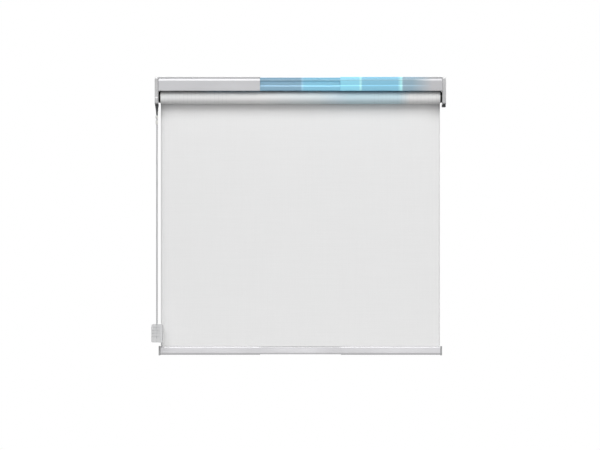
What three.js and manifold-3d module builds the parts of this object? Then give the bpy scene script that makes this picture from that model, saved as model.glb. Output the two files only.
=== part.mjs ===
// A width-adjustable roller blind: a telescopic headrail between two end brackets, a fabric roll that
// a bead-chain clutch turns, a telescopic bottom rail on the hanging fabric, and a chain tensioner.
// Millimetres. X runs along the blind, Y points to the wall and Z points up. The origin lies on the
// wall, at mid width and at half the headrail's height.
import * as THREE from "three";
import { mergeVertices } from "three/addons/utils/BufferGeometryUtils.js";
import Module from "manifold-3d";

const wasm = await Module();
wasm.setup();

// ---- Driving dimensions ----
const overallWidth = 900; // across the outer faces of the two end brackets
const overallDrop = 861; // top of the headrail to the underside of the bottom rail
const fitGap = 0.3; // between pieces that touch or are fixed to each other
const slideGap = 0.35; // all round a telescoping section
const runGap = 0.3; // radial, on everything that turns
const past = 1; // a cutting solid's reach beyond the face that it opens
const weld = 0.2; // the overlap of two solids that are joined

const headrailHeight = 43;
const headrailDepth = 63;
const headrailWall = 1.6;
const headrailOffWall = 2; // the headrail's back face stands this far off the wall
const bevelDepth = 6; // the sloped band below the headrail's set-back top lip
const bevelHeight = 6.2;
const lipHeight = 4.9;
const leftSectionLength = 313.8;
const rightSectionLength = 315;
const headrailInnerLength = 700;
const innerShift = 50; // the telescoping inner sections sit this far right of the middle
const innerFace = { ledgeZ: -9.2, flatLowZ: -5.6, flatTopZ: 2.6, sunkZ: 4 };
const innerFaceDepth = { flat: 2.2, sunk: 3.6, crown: 0.8 }; // behind the inner section's ledge
const innerSlopeWall = 1.8; // behind the inner section's sloped band
const innerHollowRise = 1.1;
const glideThickness = 2.6;
const clip = { wall: 1.6, width: 40, topDrop: 9, hookHeight: 8, holeSpread: 28, holeZ: 4 };

const bracketWidth = 11.3;
const bracketDepth = 66;
const bracketHeight = 83.7;
const bracketTopDrop = 0.6; // below the headrail's top
const bracketWall = 1.8;
const bracketRim = 2;
const bracketPlate = 1.5;
const bracketCorner = 5;
const wallHoleRadius = 2.3;
const wallHoleInset = { top: 14, bottom: 20 };
const screwHead = { radius: 2.8, height: 1.7 };
const screwShankRadius = 1.4;
const postRadius = 4;
const postInset = 8; // from the bracket's edges to the middle of each screw post
const spigot = { depth: 14, height: 15, margin: 2 };
const seamRidge = { belowAxis: 0.5, height: 4.5, proud: 1.2 }; // across the left bracket's front
const seam = { height: 1.8, depth: 0.8 };

const rollAxisY = -30;
const rollAxisZ = -40;
const rollRadius = 21; // over the wound fabric
const tubeRadius = 19;
const tubeWall = 1.2;
const innerTubeLength = 333;
const endClearance = 5.5; // each bracket's inner face to the end of the roll
const plugRadius = 17.3;
const drivePlugLength = 39;
const idlePlugLength = 38;
const plugGap = 0.5; // each plug's flange to its bracket
const idlePin = { radius: 3, collar: 2.5, chamber: 6.6, wall: 6, tipInset: 3.2 };
const pinSeat = { inset: 2, thickness: 2.4 };
const pinSpring = { wire: 0.8, turns: 7, slack: 0.6, endGap: 0.4 };
const idleBush = { radius: 7, flangeRadius: 9, flange: 3.5 };

const beadRadius = 2.25;
const beadPitch = 6;
const wheelPockets = 13;
const chainGroove = beadRadius + runGap;
const wheelWidth = 6.4;
const wheelFlange = 1.1; // the wheel's rim stands this far outside the chain's centre line
const hubRadius = 8.4;
const spindleRadius = 6.2;
const springWire = 1;
const springPitch = 1.6;
const springEndGap = 1.4;
const spindleInset = 3; // the spindle's inner end inside the drive plug's
const hubReach = 2; // the wheel's hub past the end of the roll
const spindleScrew = { bore: 1.9, length: 14, head: 3.4, hole: 2.3 };

const guideLength = 33.9;
const guideTipWidth = 4;
const guideFlare = 1.6; // the power that its width narrows by
const guideDepth = 36;
const guideDraft = 1;
const blankPlugHeight = 8;
const stopRadius = 4;
const stopEnd = { radius: 3, flat: 1.8, gap: 0.8 };
const connectorRadius = 3.6;
const connectorLength = 13;
const connectorEnd = { drop: 0.6, length: 1.5, gap: 6 };

const tensionerWidth = 34;
const tensionerHeight = 56;
const tensionerFront = 18; // from the chain's middle plane
const tensionerBack = 15.4;
const tensionerCorner = 4.5;
const tensionerAboveRail = 39.2; // its underside above the bottom rail's underside
const ribPitch = 9.3;
const ribCount = 4;
const ribDepth = 1.4;
const ribHeight = 3;
const ribTopInset = 10;
const ribPlainEdge = 7.6; // the grooves stop this far from the tensioner's right side
const pulleyAxle = { radius: 2.5, length: 16 };
const pulleySideGap = 0.6;
const tensionerScrew = { inset: 6, reach: 9 };
const foot = { width: 17, height: 52, thickness: 2.6, neckWidth: 12.5, neckHeight: 28 };
const footHole = { spread: 40, x: -8 };
const footInset = 2; // the foot's inner edge from the plane of the bottom cap's outer face

const railHeight = 25.7;
const railDepth = 9;
const railWall = 1.3;
const railSlot = 2.4;
const railSlope = { top: 3.4, bottom: 6.2, draw: 0.44, lowShare: 0.8 };
const capTongue = { length: 14, low: 4, high: 12, sideGap: 0.8 };
const railLeftLength = 309.7;
const railRightLength = 308.7;
const railInnerLength = 700;
const railCap = { thickness: 5, height: 29, depth: 11 };
const railEndInset = 10; // each bottom cap's outer face inside the bracket's outer face
const fabricThickness = 0.8;
const splineRadius = 1.1;
const splineInset = 18; // from each end of the bottom rail
const splineDrop = 1; // below the slot's lips

// ---- Sizes worked out from them ----
const halfWidth = overallWidth / 2;
const bracketInner = halfWidth - bracketWidth;
const railTopZ = headrailHeight / 2;
const bracketTopZ = railTopZ - bracketTopDrop;
const bracketBottomZ = bracketTopZ - bracketHeight;
const rollHalfLength = bracketInner - endClearance;
const undersideZ = railTopZ - overallDrop;
const bottomRailZ = undersideZ + railHeight;
const fabricY = rollAxisY + rollRadius + fitGap + fabricThickness / 2;
const pitchRadius = (wheelPockets * beadPitch) / (2 * Math.PI);
const chainX = -(halfWidth - bracketWidth / 2);
const tensionerZ = undersideZ + tensionerAboveRail + tensionerHeight / 2;
const chainDrop = beadPitch * Math.round((rollAxisZ - tensionerZ) / beadPitch);
const pulleyZ = rollAxisZ - chainDrop;
const guideTopZ = bracketBottomZ - fitGap;
const guideBottomZ = guideTopZ - guideLength;

const finish = {
  silver: { color: 0xc8c8ca, roughness: 0.42, metalness: 0.35 },
  rail: { color: 0xcfcfd3, roughness: 0.38, metalness: 0.35 },
  blue: { color: 0x8fc6da, roughness: 0.35, metalness: 0.25 },
  steel: { color: 0xb4b6b8, roughness: 0.35, metalness: 0.9 },
  black: { color: 0x1c1d1f, roughness: 0.55, metalness: 0 },
  grey: { color: 0x55585a, roughness: 0.55, metalness: 0 },
  cap: { color: 0x8e9092, roughness: 0.5, metalness: 0 },
  nylon: { color: 0xe9e9e6, roughness: 0.45, metalness: 0 },
  shell: { color: 0xcdcfd1, roughness: 0.5, metalness: 0 },
  bead: { color: 0xc4c6c8, roughness: 0.4, metalness: 0.1 },
  fabric: { color: 0xe6e6e6, roughness: 0.9, metalness: 0 },
};

// ---- Solids ----
const alongX = new THREE.Matrix4().makeBasis(
  new THREE.Vector3(0, 1, 0),
  new THREE.Vector3(0, 0, 1),
  new THREE.Vector3(1, 0, 0),
);
const lathedX = new THREE.Matrix4().makeBasis(
  new THREE.Vector3(0, 0, 1),
  new THREE.Vector3(1, 0, 0),
  new THREE.Vector3(0, 1, 0),
);
const lathedZ = new THREE.Matrix4().makeRotationX(Math.PI / 2);
const lathedY = new THREE.Matrix4().identity();

// A closed geometry as a manifold solid whose faces point outwards.
function solid(geometry) {
  const bare = geometry.clone();
  bare.deleteAttribute("normal");
  bare.deleteAttribute("uv");
  const merged = mergeVertices(bare, 1e-4);
  const triVerts = new Uint32Array(merged.index.array);
  const vertProperties = new Float32Array(merged.attributes.position.array);
  const made = new wasm.Manifold(new wasm.Mesh({ numProp: 3, vertProperties, triVerts }));
  if (made.volume() >= 0) return made;
  const turned = triVerts.map((_, i) => triVerts[i - (i % 3) + 2 - (i % 3)]);
  return new wasm.Manifold(new wasm.Mesh({ numProp: 3, vertProperties, triVerts: turned }));
}

function shapeOf(points) {
  return new THREE.Shape(points.map(([y, z]) => new THREE.Vector2(y, z)));
}

// An outline in Y and Z, carried along X from one end to the other.
function extrudeX(outline, fromX, toX) {
  const shape = Array.isArray(outline) ? shapeOf(outline) : outline;
  const depth = Math.abs(toX - fromX);
  const geometry = new THREE.ExtrudeGeometry(shape, { depth, bevelEnabled: false, curveSegments: 6 });
  geometry.applyMatrix4(alongX);
  geometry.translate(Math.min(fromX, toX), 0, 0);
  return solid(geometry);
}

function box(x, y, z) {
  const geometry = new THREE.BoxGeometry(
    Math.abs(x[1] - x[0]),
    Math.abs(y[1] - y[0]),
    Math.abs(z[1] - z[0]),
  );
  geometry.translate((x[0] + x[1]) / 2, (y[0] + y[1]) / 2, (z[0] + z[1]) / 2);
  return solid(geometry);
}

// A closed profile of [distance along the axis, radius] points, turned about the axis.
function lathe(profile, matrix, segments = 36) {
  const points = profile.map(([along, radius]) => new THREE.Vector2(radius, along));
  const closed = profile[0][1] > 0 ? [...points, points[0].clone()] : points;
  const geometry = new THREE.LatheGeometry(closed, segments);
  geometry.applyMatrix4(matrix);
  return solid(geometry);
}

function ring(fromX, toX, outer, inner, segments = 36) {
  return lathe([[fromX, inner], [fromX, outer], [toX, outer], [toX, inner]], lathedX, segments);
}

function rod(fromX, toX, radius, segments = 24) {
  return lathe([[fromX, 0], [fromX, radius], [toX, radius], [toX, 0]], lathedX, segments);
}

function holeY(x, z, radius, fromY, toY) {
  const pin = lathe([[fromY, 0], [fromY, radius], [toY, radius], [toY, 0]], lathedY, 16);
  return pin.translate([x, 0, z]);
}

// A block whose section is a rectangle at each level, from the highest level to the lowest.
function stack(levels) {
  const corners = (level) => [
    [level.x[0], level.y[0], level.z],
    [level.x[1], level.y[0], level.z],
    [level.x[1], level.y[1], level.z],
    [level.x[0], level.y[1], level.z],
  ];
  const position = levels.flatMap(corners).flat();
  const last = 4 * (levels.length - 1);
  const quads = [[0, 1, 2, 3], [last + 3, last + 2, last + 1, last]];
  for (let low = 0; low < last; low += 4) {
    for (let i = 0; i < 4; i += 1) {
      const next = (i + 1) % 4;
      quads.push([low + i, low + 4 + i, low + 4 + next, low + next]);
    }
  }
  const geometry = new THREE.BufferGeometry();
  geometry.setAttribute("position", new THREE.Float32BufferAttribute(position, 3));
  geometry.setIndex(quads.flatMap(([a, b, c, d]) => [a, b, c, a, c, d]));
  return solid(geometry);
}

// A wire coil about X.
function coil(fromX, toX, radius, wire, turns) {
  class Helix extends THREE.Curve {
    getPoint(t, target = new THREE.Vector3()) {
      const angle = 2 * Math.PI * turns * t;
      return target.set(
        fromX + (toX - fromX) * t,
        radius * Math.cos(angle),
        radius * Math.sin(angle),
      );
    }
  }
  const section = new THREE.Shape();
  section.absarc(0, 0, wire / 2, 0, 2 * Math.PI);
  const geometry = new THREE.ExtrudeGeometry(section, {
    steps: Math.round(turns * 10),
    extrudePath: new Helix(),
    curveSegments: 3,
  });
  return solid(geometry);
}

const cut = (body, ...tools) => tools.reduce((left, tool) => left.subtract(tool), body);
const join = (body, ...others) => others.reduce((sum, other) => sum.add(other), body);

const blind = new THREE.Group();
blind.name = "roller_blind";

function group(x, y, z) {
  const made = new THREE.Group();
  made.position.set(x, y, z);
  blind.add(made);
  return made;
}

function place(parent, name, body, look) {
  const { numProp, vertProperties, triVerts } = body.getMesh();
  const position = new Float32Array((vertProperties.length / numProp) * 3);
  for (let i = 0; i < position.length / 3; i += 1) {
    position.set(vertProperties.subarray(i * numProp, i * numProp + 3), i * 3);
  }
  const indexed = new THREE.BufferGeometry();
  indexed.setAttribute("position", new THREE.BufferAttribute(position, 3));
  indexed.setIndex(new THREE.BufferAttribute(triVerts, 1));
  const geometry = indexed.toNonIndexed();
  geometry.computeVertexNormals();
  const mesh = new THREE.Mesh(geometry, new THREE.MeshStandardMaterial(look));
  mesh.name = name;
  parent.add(mesh);
}

// ---- Headrail: outer sections left and right over one inner section, all open underneath ----
const frontY = -(headrailOffWall + headrailDepth);
const backY = -headrailOffWall;
const bevelTopZ = railTopZ - lipHeight;
const bevelLowZ = bevelTopZ - bevelHeight;
const farBelow = -headrailHeight;

function headrailOutline(bottomZ) {
  return [
    [frontY, bottomZ],
    [frontY, bevelLowZ],
    [frontY + bevelDepth, bevelTopZ],
    [frontY + bevelDepth, railTopZ],
    [backY, railTopZ],
    [backY, bottomZ],
  ];
}

function headrailHollow() {
  const wall = headrailWall;
  return [
    [frontY + wall, farBelow],
    [frontY + wall, bevelLowZ - wall / 2],
    [frontY + bevelDepth + wall, bevelTopZ - wall / 2],
    [frontY + bevelDepth + wall, railTopZ - wall],
    [backY - wall, railTopZ - wall],
    [backY - wall, farBelow],
  ];
}

function headrailOuter(fromX, toX) {
  const body = extrudeX(headrailOutline(-railTopZ), fromX, toX);
  return cut(body, extrudeX(headrailHollow(), fromX - past, toX + past));
}

const innerFrontY = frontY + headrailWall + slideGap;
const innerBackY = backY - headrailWall - slideGap;
const innerTopZ = railTopZ - headrailWall - slideGap;

// The inner section's face carries a ledge, a flat band and a sunk band below its sloped top band.
function innerOutline() {
  return [
    [innerFrontY, -railTopZ + fitGap],
    [innerFrontY, innerFace.ledgeZ],
    [innerFrontY + innerFaceDepth.flat, innerFace.flatLowZ],
    [innerFrontY + innerFaceDepth.flat, innerFace.flatTopZ],
    [innerFrontY + innerFaceDepth.sunk, innerFace.sunkZ],
    [innerFrontY + innerFaceDepth.crown, bevelLowZ - fitGap],
    [innerFrontY + bevelDepth, bevelTopZ - headrailWall],
    [innerFrontY + bevelDepth, innerTopZ],
    [innerBackY, innerTopZ],
    [innerBackY, -railTopZ + fitGap],
  ];
}

function innerHollow() {
  const wall = headrailWall;
  const plane = innerFrontY + innerFaceDepth.sunk + wall;
  const lip = innerFrontY + bevelDepth + innerSlopeWall;
  return [
    [plane, farBelow],
    [plane, bevelLowZ + innerHollowRise],
    [lip, bevelTopZ - innerSlopeWall - fitGap],
    [lip, innerTopZ - wall],
    [innerBackY - wall, innerTopZ - wall],
    [innerBackY - wall, farBelow],
  ];
}

const innerFromX = innerShift - headrailInnerLength / 2;
const innerToX = innerShift + headrailInnerLength / 2;

function addHeadrail() {
  const rail = group(0, 0, 0);
  const endX = bracketInner - fitGap;
  place(rail, "headrail_left", headrailOuter(-endX, -endX + leftSectionLength), finish.silver);
  place(rail, "headrail_right", headrailOuter(endX - rightSectionLength, endX), finish.silver);
  const channel = extrudeX(innerOutline(), innerFromX, innerToX);
  const body = cut(channel, extrudeX(innerHollow(), innerFromX - past, innerToX + past));
  place(rail, "headrail_inner", body, finish.blue);
  const glideTop = extrudeX(innerOutline(), 0, glideThickness);
  const glide = cut(glideTop, extrudeX(innerHollow(), -past, glideThickness + past));
  place(
    rail,
    "headrail_glide_left",
    glide.translate([innerFromX - fitGap - glideThickness, 0, 0]),
    finish.nylon,
  );
  place(rail, "headrail_glide_right", glide.translate([innerToX + fitGap, 0, 0]), finish.nylon);
}

// The wall clip carries the inner section's rear wall in a hook.
function addWallClip() {
  const mount = group(0, 0, 0);
  const seatZ = -railTopZ;
  const hookY = innerBackY - headrailWall - fitGap;
  const outline = [
    [0, seatZ - clip.wall],
    [0, railTopZ - clip.topDrop],
    [-clip.wall, railTopZ - clip.topDrop],
    [-clip.wall, seatZ],
    [hookY, seatZ],
    [hookY, seatZ + clip.hookHeight],
    [hookY - clip.wall, seatZ + clip.hookHeight],
    [hookY - clip.wall, seatZ - clip.wall],
  ];
  const half = clip.width / 2;
  const holes = [-1, 1].map((way) =>
    holeY((way * clip.holeSpread) / 2, clip.holeZ, wallHoleRadius, -clip.wall - past, past),
  );
  place(mount, "wall_clip", cut(extrudeX(outline, -half, half), ...holes), finish.steel);
}

// ---- End brackets ----
function bracketOutline(inset) {
  const low = [-bracketDepth + inset, bracketBottomZ + inset];
  const high = [-inset, bracketTopZ - inset];
  const r = Math.max(bracketCorner - inset, 0.5);
  const shape = new THREE.Shape();
  shape.moveTo(low[0] + r, low[1]);
  shape.lineTo(high[0], low[1]);
  shape.lineTo(high[0], high[1]);
  shape.lineTo(low[0] + r, high[1]);
  shape.absarc(low[0] + r, high[1] - r, r, Math.PI / 2, Math.PI);
  shape.lineTo(low[0], low[1] + r);
  shape.absarc(low[0] + r, low[1] + r, r, Math.PI, 1.5 * Math.PI);
  return shape;
}

const posts = [
  { name: "upper", y: -bracketDepth + postInset, z: bracketTopZ - postInset },
  { name: "lower", y: -postInset, z: bracketBottomZ + postInset },
];
const counterbore = screwHead.height + fitGap;

// The left bracket's front swells into a wedge ridge that ends in a step, with a seam under it.
const ridgeTopZ = rollAxisZ - seamRidge.belowAxis;
const ridgeLowZ = ridgeTopZ - seamRidge.height;

function ridge(fromX, toX) {
  const front = -bracketDepth;
  const outline = [
    [front + weld, ridgeTopZ],
    [front, ridgeTopZ],
    [front - seamRidge.proud, ridgeLowZ],
    [front + weld, ridgeLowZ],
  ];
  return extrudeX(outline, fromX, toX);
}

function seamGroove(fromX, toX) {
  const front = -bracketDepth;
  return box([fromX, toX], [front - past, front + seam.depth], [ridgeLowZ - seam.height, ridgeLowZ]);
}

// One end of the blind. Its group stands at the bracket's outer face, and side is -1 at the left.
function addEnd(side, label) {
  const end = group(side * halfWidth, 0, 0);
  const at = (inward) => -side * inward;
  const pinX = (from, to, radius, y, z) => rod(at(from), at(to), radius, 16).translate([0, y, z]);
  const openX = bracketWidth - bracketPlate - fitGap;
  const plateX = bracketWidth - bracketPlate;
  const pocket = extrudeX(bracketOutline(bracketRim), at(bracketWall), at(openX + past));
  let shell = cut(extrudeX(bracketOutline(0), at(0), at(openX)), pocket);
  for (const { y, z } of posts) {
    shell = join(shell, pinX(bracketWall / 2, openX, postRadius, y, z));
  }
  for (const { y, z } of posts) {
    const head = pinX(-past, counterbore, screwHead.radius + fitGap, y, z);
    shell = cut(shell, head, pinX(0, openX + past, screwShankRadius + fitGap, y, z));
  }
  const chainIn = bracketWidth / 2;
  const slotHalf = beadRadius + 2 * runGap;
  const slot = box(
    [at(chainIn - slotHalf), at(chainIn + slotHalf)],
    [rollAxisY - pitchRadius - slotHalf, rollAxisY + pitchRadius + slotHalf],
    [bracketBottomZ - past, bracketBottomZ + bracketRim + past],
  );
  const wallHoleZ = [bracketTopZ - wallHoleInset.top, bracketBottomZ + wallHoleInset.bottom];
  const wallHoles = wallHoleZ.map((z) =>
    holeY(at(chainIn), z, wallHoleRadius, -bracketRim - past, past),
  );
  shell = cut(shell, slot, ...wallHoles);
  if (side < 0) {
    const screwHole = pinX(-past, bracketWall + past, spindleScrew.hole, rollAxisY, rollAxisZ);
    shell = cut(join(shell, ridge(at(0), at(openX))), screwHole, seamGroove(at(-past), at(openX + past)));
  }
  place(end, `bracket_${label}`, shell, finish.silver);

  const spigotTopZ = railTopZ - headrailWall - spigot.margin;
  const block = box(
    [at(bracketWidth - weld), at(bracketWidth + spigot.depth)],
    [frontY + bevelDepth + headrailWall + spigot.margin, backY - headrailWall - spigot.margin],
    [spigotTopZ - spigot.height, spigotTopZ],
  );
  const boreRadius = side < 0 ? hubRadius + runGap : idleBush.radius + fitGap;
  let plate = join(extrudeX(bracketOutline(0), at(plateX), at(bracketWidth)), block);
  plate = cut(plate, pinX(plateX - past, bracketWidth + past, boreRadius, rollAxisY, rollAxisZ));
  for (const { y, z } of posts) {
    plate = cut(plate, pinX(plateX - past, bracketWidth + past, screwShankRadius + fitGap, y, z));
  }
  place(end, `bracket_plate_${label}`, plate, finish.silver);

  for (const { name, y, z } of posts) {
    const shank = pinX(fitGap, bracketWidth - fitGap, screwShankRadius, y, z);
    const screw = join(shank, pinX(fitGap, fitGap + screwHead.height, screwHead.radius, y, z));
    place(end, `bracket_screw_${label}_${name}`, screw, finish.steel);
  }
}

// ---- Chain drive, in the left bracket ----
const wheelFromX = chainX - wheelWidth / 2;
const wheelToX = chainX + wheelWidth / 2;
const plugFaceX = -(rollHalfLength + fitGap);

// A grooved wheel's closed profile about X, centred on the chain.
function groovedProfile(width, bore) {
  const rim = pitchRadius + wheelFlange;
  const steps = 6;
  const groove = [[-chainGroove, rim]];
  for (let i = 0; i <= steps; i += 1) {
    const angle = -Math.PI / 2 + (Math.PI * i) / steps;
    groove.push([chainGroove * Math.sin(angle), pitchRadius - chainGroove * Math.cos(angle)]);
  }
  groove.push([chainGroove, rim]);
  return [
    [-width / 2, bore],
    [-width / 2, rim],
    ...groove,
    [width / 2, rim],
    [width / 2, bore],
  ];
}

function addDrive(roller) {
  const frame = group(0, rollAxisY, rollAxisZ);
  const spindleFromX = -halfWidth + bracketWall + fitGap;
  const spindleToX = plugFaceX + drivePlugLength - spindleInset;
  const screwToX = spindleFromX + spindleScrew.length;
  const bore = rod(spindleFromX - past, screwToX + past, spindleScrew.bore, 16);
  const spindle = cut(rod(spindleFromX, spindleToX, spindleRadius), bore);
  place(frame, "clutch_spindle", spindle, finish.black);
  const screw = join(
    rod(-halfWidth - screwHead.height, -halfWidth - fitGap, spindleScrew.head, 20),
    rod(-halfWidth - screwHead.height, screwToX, spindleScrew.bore - fitGap, 16),
  );
  place(frame, "spindle_screw", screw, finish.steel);

  const wheelBore = spindleRadius + runGap;
  const hubEndX = plugFaceX + hubReach;
  const groove = lathe(groovedProfile(wheelWidth, wheelBore), lathedX, 36).translate([chainX, 0, 0]);
  const hub = ring(wheelToX - weld, hubEndX, hubRadius, wheelBore, 32);
  place(roller, "chain_wheel", join(groove, hub), finish.black);

  const springRadius = spindleRadius + runGap + springWire / 2;
  const plugBore = springRadius + springWire / 2 + runGap;
  const plugToX = plugFaceX + drivePlugLength;
  const flangeFromX = -bracketInner + plugGap;
  const plug = join(
    ring(flangeFromX, plugFaceX, plugRadius, hubRadius + runGap),
    ring(plugFaceX - weld, plugToX, tubeRadius - tubeWall - fitGap, plugBore),
  );
  const hubRoom = rod(flangeFromX - past, hubEndX + fitGap, hubRadius + runGap, 32);
  place(roller, "drive_plug", cut(plug, hubRoom), finish.black);
  const half = (spindleToX - hubEndX) / 2;
  const turns = Math.floor((half - springEndGap - 2 * springWire) / springPitch);
  const length = turns * springPitch;
  for (const [name, fromX] of [
    ["wrap_spring_outer", hubEndX + springEndGap],
    ["wrap_spring_inner", hubEndX + half + springEndGap / 2],
  ]) {
    place(frame, name, coil(fromX, fromX + length, springRadius, springWire, turns), finish.steel);
  }
}

// ---- Roller: outer tube with the fabric, inner tube that telescopes from it ----
function addRoller(roller) {
  const half = rollHalfLength;
  place(roller, "tube_outer", ring(-half, half, tubeRadius, tubeRadius - tubeWall), finish.steel);
  place(roller, "fabric_roll", ring(-half, half, rollRadius, tubeRadius + fitGap, 48), finish.fabric);
  const innerRadius = tubeRadius - tubeWall - slideGap;
  const innerWall = innerRadius - tubeWall;
  place(roller, "tube_inner", ring(half - innerTubeLength, half, innerRadius, innerWall), finish.steel);

  const faceX = half + fitGap;
  const flangeToX = bracketInner - plugGap;
  const pinBore = idlePin.radius + runGap;
  const tailX = half - idlePlugLength;
  const wallX = half - idlePin.wall;
  const plug = join(
    ring(tailX, faceX + weld, innerWall - fitGap, idlePin.chamber),
    ring(faceX, flangeToX, plugRadius, pinBore),
    ring(wallX, faceX + weld, innerWall - fitGap, pinBore),
  );
  place(roller, "idle_plug", plug, finish.black);
  const seatX = tailX + pinSeat.inset;
  const seatToX = seatX + pinSeat.thickness;
  const seat = ring(seatX, seatToX, idlePin.chamber - fitGap, pinBore, 24);
  place(roller, "pin_spring_seat", seat, finish.black);
  const collarX = wallX - fitGap - idlePin.collar;
  const pin = join(
    rod(seatX + past, halfWidth - idlePin.tipInset, idlePin.radius),
    rod(collarX, collarX + idlePin.collar, idlePin.chamber - plugGap),
  );
  place(roller, "idle_pin", pin, finish.steel);
  const { wire, turns, slack, endGap } = pinSpring;
  const fromX = seatToX + fitGap + endGap;
  const toX = collarX - fitGap - endGap;
  place(roller, "pin_spring", coil(fromX, toX, pinBore + wire / 2 + slack, wire, turns), finish.steel);
}

function addIdleBush() {
  const bushFrame = group(0, rollAxisY, rollAxisZ);
  const bore = idlePin.radius + runGap;
  const flangeX = bracketInner + bracketPlate + fitGap;
  const bush = join(
    ring(bracketInner + weld, flangeX + weld, idleBush.radius, bore, 28),
    ring(flangeX, flangeX + idleBush.flange, idleBush.flangeRadius, bore, 28),
  );
  place(bushFrame, "idle_bush", bush, finish.nylon);
}

// ---- Bead chain, its guide, stop and joiner ----
function strand(fromZ, toZ, y) {
  const section = new THREE.Shape();
  section.absarc(0, 0, beadRadius, 0, 2 * Math.PI);
  const path = new THREE.LineCurve3(new THREE.Vector3(0, y, fromZ), new THREE.Vector3(0, y, toZ));
  return solid(new THREE.ExtrudeGeometry(section, { steps: 1, extrudePath: path, curveSegments: 4 }));
}

// Half a turn of chain about X, above or below the axis at height z.
function bight(z, upwards) {
  const sign = upwards ? 1 : -1;
  const trim = fitGap / pitchRadius;
  class Arc extends THREE.Curve {
    getPoint(t, target = new THREE.Vector3()) {
      const angle = trim + (Math.PI - 2 * trim) * t;
      return target.set(0, pitchRadius * Math.cos(angle), z + sign * pitchRadius * Math.sin(angle));
    }
  }
  const section = new THREE.Shape();
  section.absarc(0, 0, beadRadius, 0, 2 * Math.PI);
  const options = { steps: 12, extrudePath: new Arc(), curveSegments: 4 };
  return solid(new THREE.ExtrudeGeometry(section, options));
}

// The guide narrows quickly under the bracket and slowly toward its tip.
function guideFunnel() {
  const steps = 10;
  const levels = [];
  for (let i = 0; i <= steps; i += 1) {
    const share = i / steps;
    const narrow = (1 - share) ** guideFlare;
    const halfX = (guideTipWidth + (bracketWidth - guideTipWidth) * narrow) / 2;
    const halfY = guideDepth / 2 - guideDraft * share;
    levels.push({ x: [-halfX, halfX], y: [-halfY, halfY], z: guideTopZ - guideLength * share });
  }
  return stack(levels);
}

function addChain() {
  const chain = group(chainX, rollAxisY, 0);
  place(chain, "chain_front_run", strand(rollAxisZ, pulleyZ, -pitchRadius), finish.bead);
  place(chain, "chain_rear_run", strand(rollAxisZ, pulleyZ, pitchRadius), finish.bead);
  place(chain, "chain_over_wheel", bight(rollAxisZ, true), finish.bead);
  place(chain, "chain_under_pulley", bight(pulleyZ, false), finish.bead);

  const bore = beadRadius + runGap;
  const stopZ = guideBottomZ - stopRadius - stopEnd.gap;
  const stop = lathe(
    [
      [-stopRadius, bore],
      [-stopRadius, stopEnd.radius],
      [-stopEnd.flat, stopRadius],
      [stopEnd.flat, stopRadius],
      [stopRadius, stopEnd.radius],
      [stopRadius, bore],
    ],
    lathedZ,
    20,
  );
  place(chain, "chain_stop", stop.translate([0, -pitchRadius, stopZ]), finish.nylon);
  const half = connectorLength / 2;
  const joiner = lathe(
    [
      [-half, bore],
      [-half, connectorRadius - connectorEnd.drop],
      [-half + connectorEnd.length, connectorRadius],
      [half - connectorEnd.length, connectorRadius],
      [half, connectorRadius - connectorEnd.drop],
      [half, bore],
    ],
    lathedZ,
    20,
  );
  const joinerZ = stopZ - stopRadius - half - connectorEnd.gap;
  place(chain, "chain_joiner", joiner.translate([0, -pitchRadius, joinerZ]), finish.nylon);

  const slotHalf = beadRadius + 2 * runGap;
  const runHalf = pitchRadius + slotHalf;
  const passage = box([-slotHalf, slotHalf], [-runHalf, runHalf], [guideBottomZ - past, guideTopZ + past]);
  place(chain, "chain_guide", cut(guideFunnel(), passage), finish.grey);

  const blank = box(
    [-bracketWidth / 2, bracketWidth / 2],
    [-guideDepth / 2, guideDepth / 2],
    [guideTopZ - blankPlugHeight, guideTopZ],
  );
  const blankFrame = group(-chainX, rollAxisY, 0);
  place(blankFrame, "blank_plug", blank, finish.grey);
}

// ---- Chain tensioner on the wall ----
function roundedXZ(halfX, halfZ, radius, fromY, toY) {
  const shape = new THREE.Shape();
  shape.moveTo(-halfX + radius, -halfZ);
  shape.absarc(halfX - radius, -halfZ + radius, radius, -Math.PI / 2, 0);
  shape.absarc(halfX - radius, halfZ - radius, radius, 0, Math.PI / 2);
  shape.absarc(-halfX + radius, halfZ - radius, radius, Math.PI / 2, Math.PI);
  shape.absarc(-halfX + radius, -halfZ + radius, radius, Math.PI, 1.5 * Math.PI);
  const options = { depth: toY - fromY, bevelEnabled: false, curveSegments: 5 };
  const geometry = new THREE.ExtrudeGeometry(shape, options);
  geometry.rotateX(Math.PI / 2);
  geometry.translate(0, toY, 0);
  return solid(geometry);
}

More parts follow.
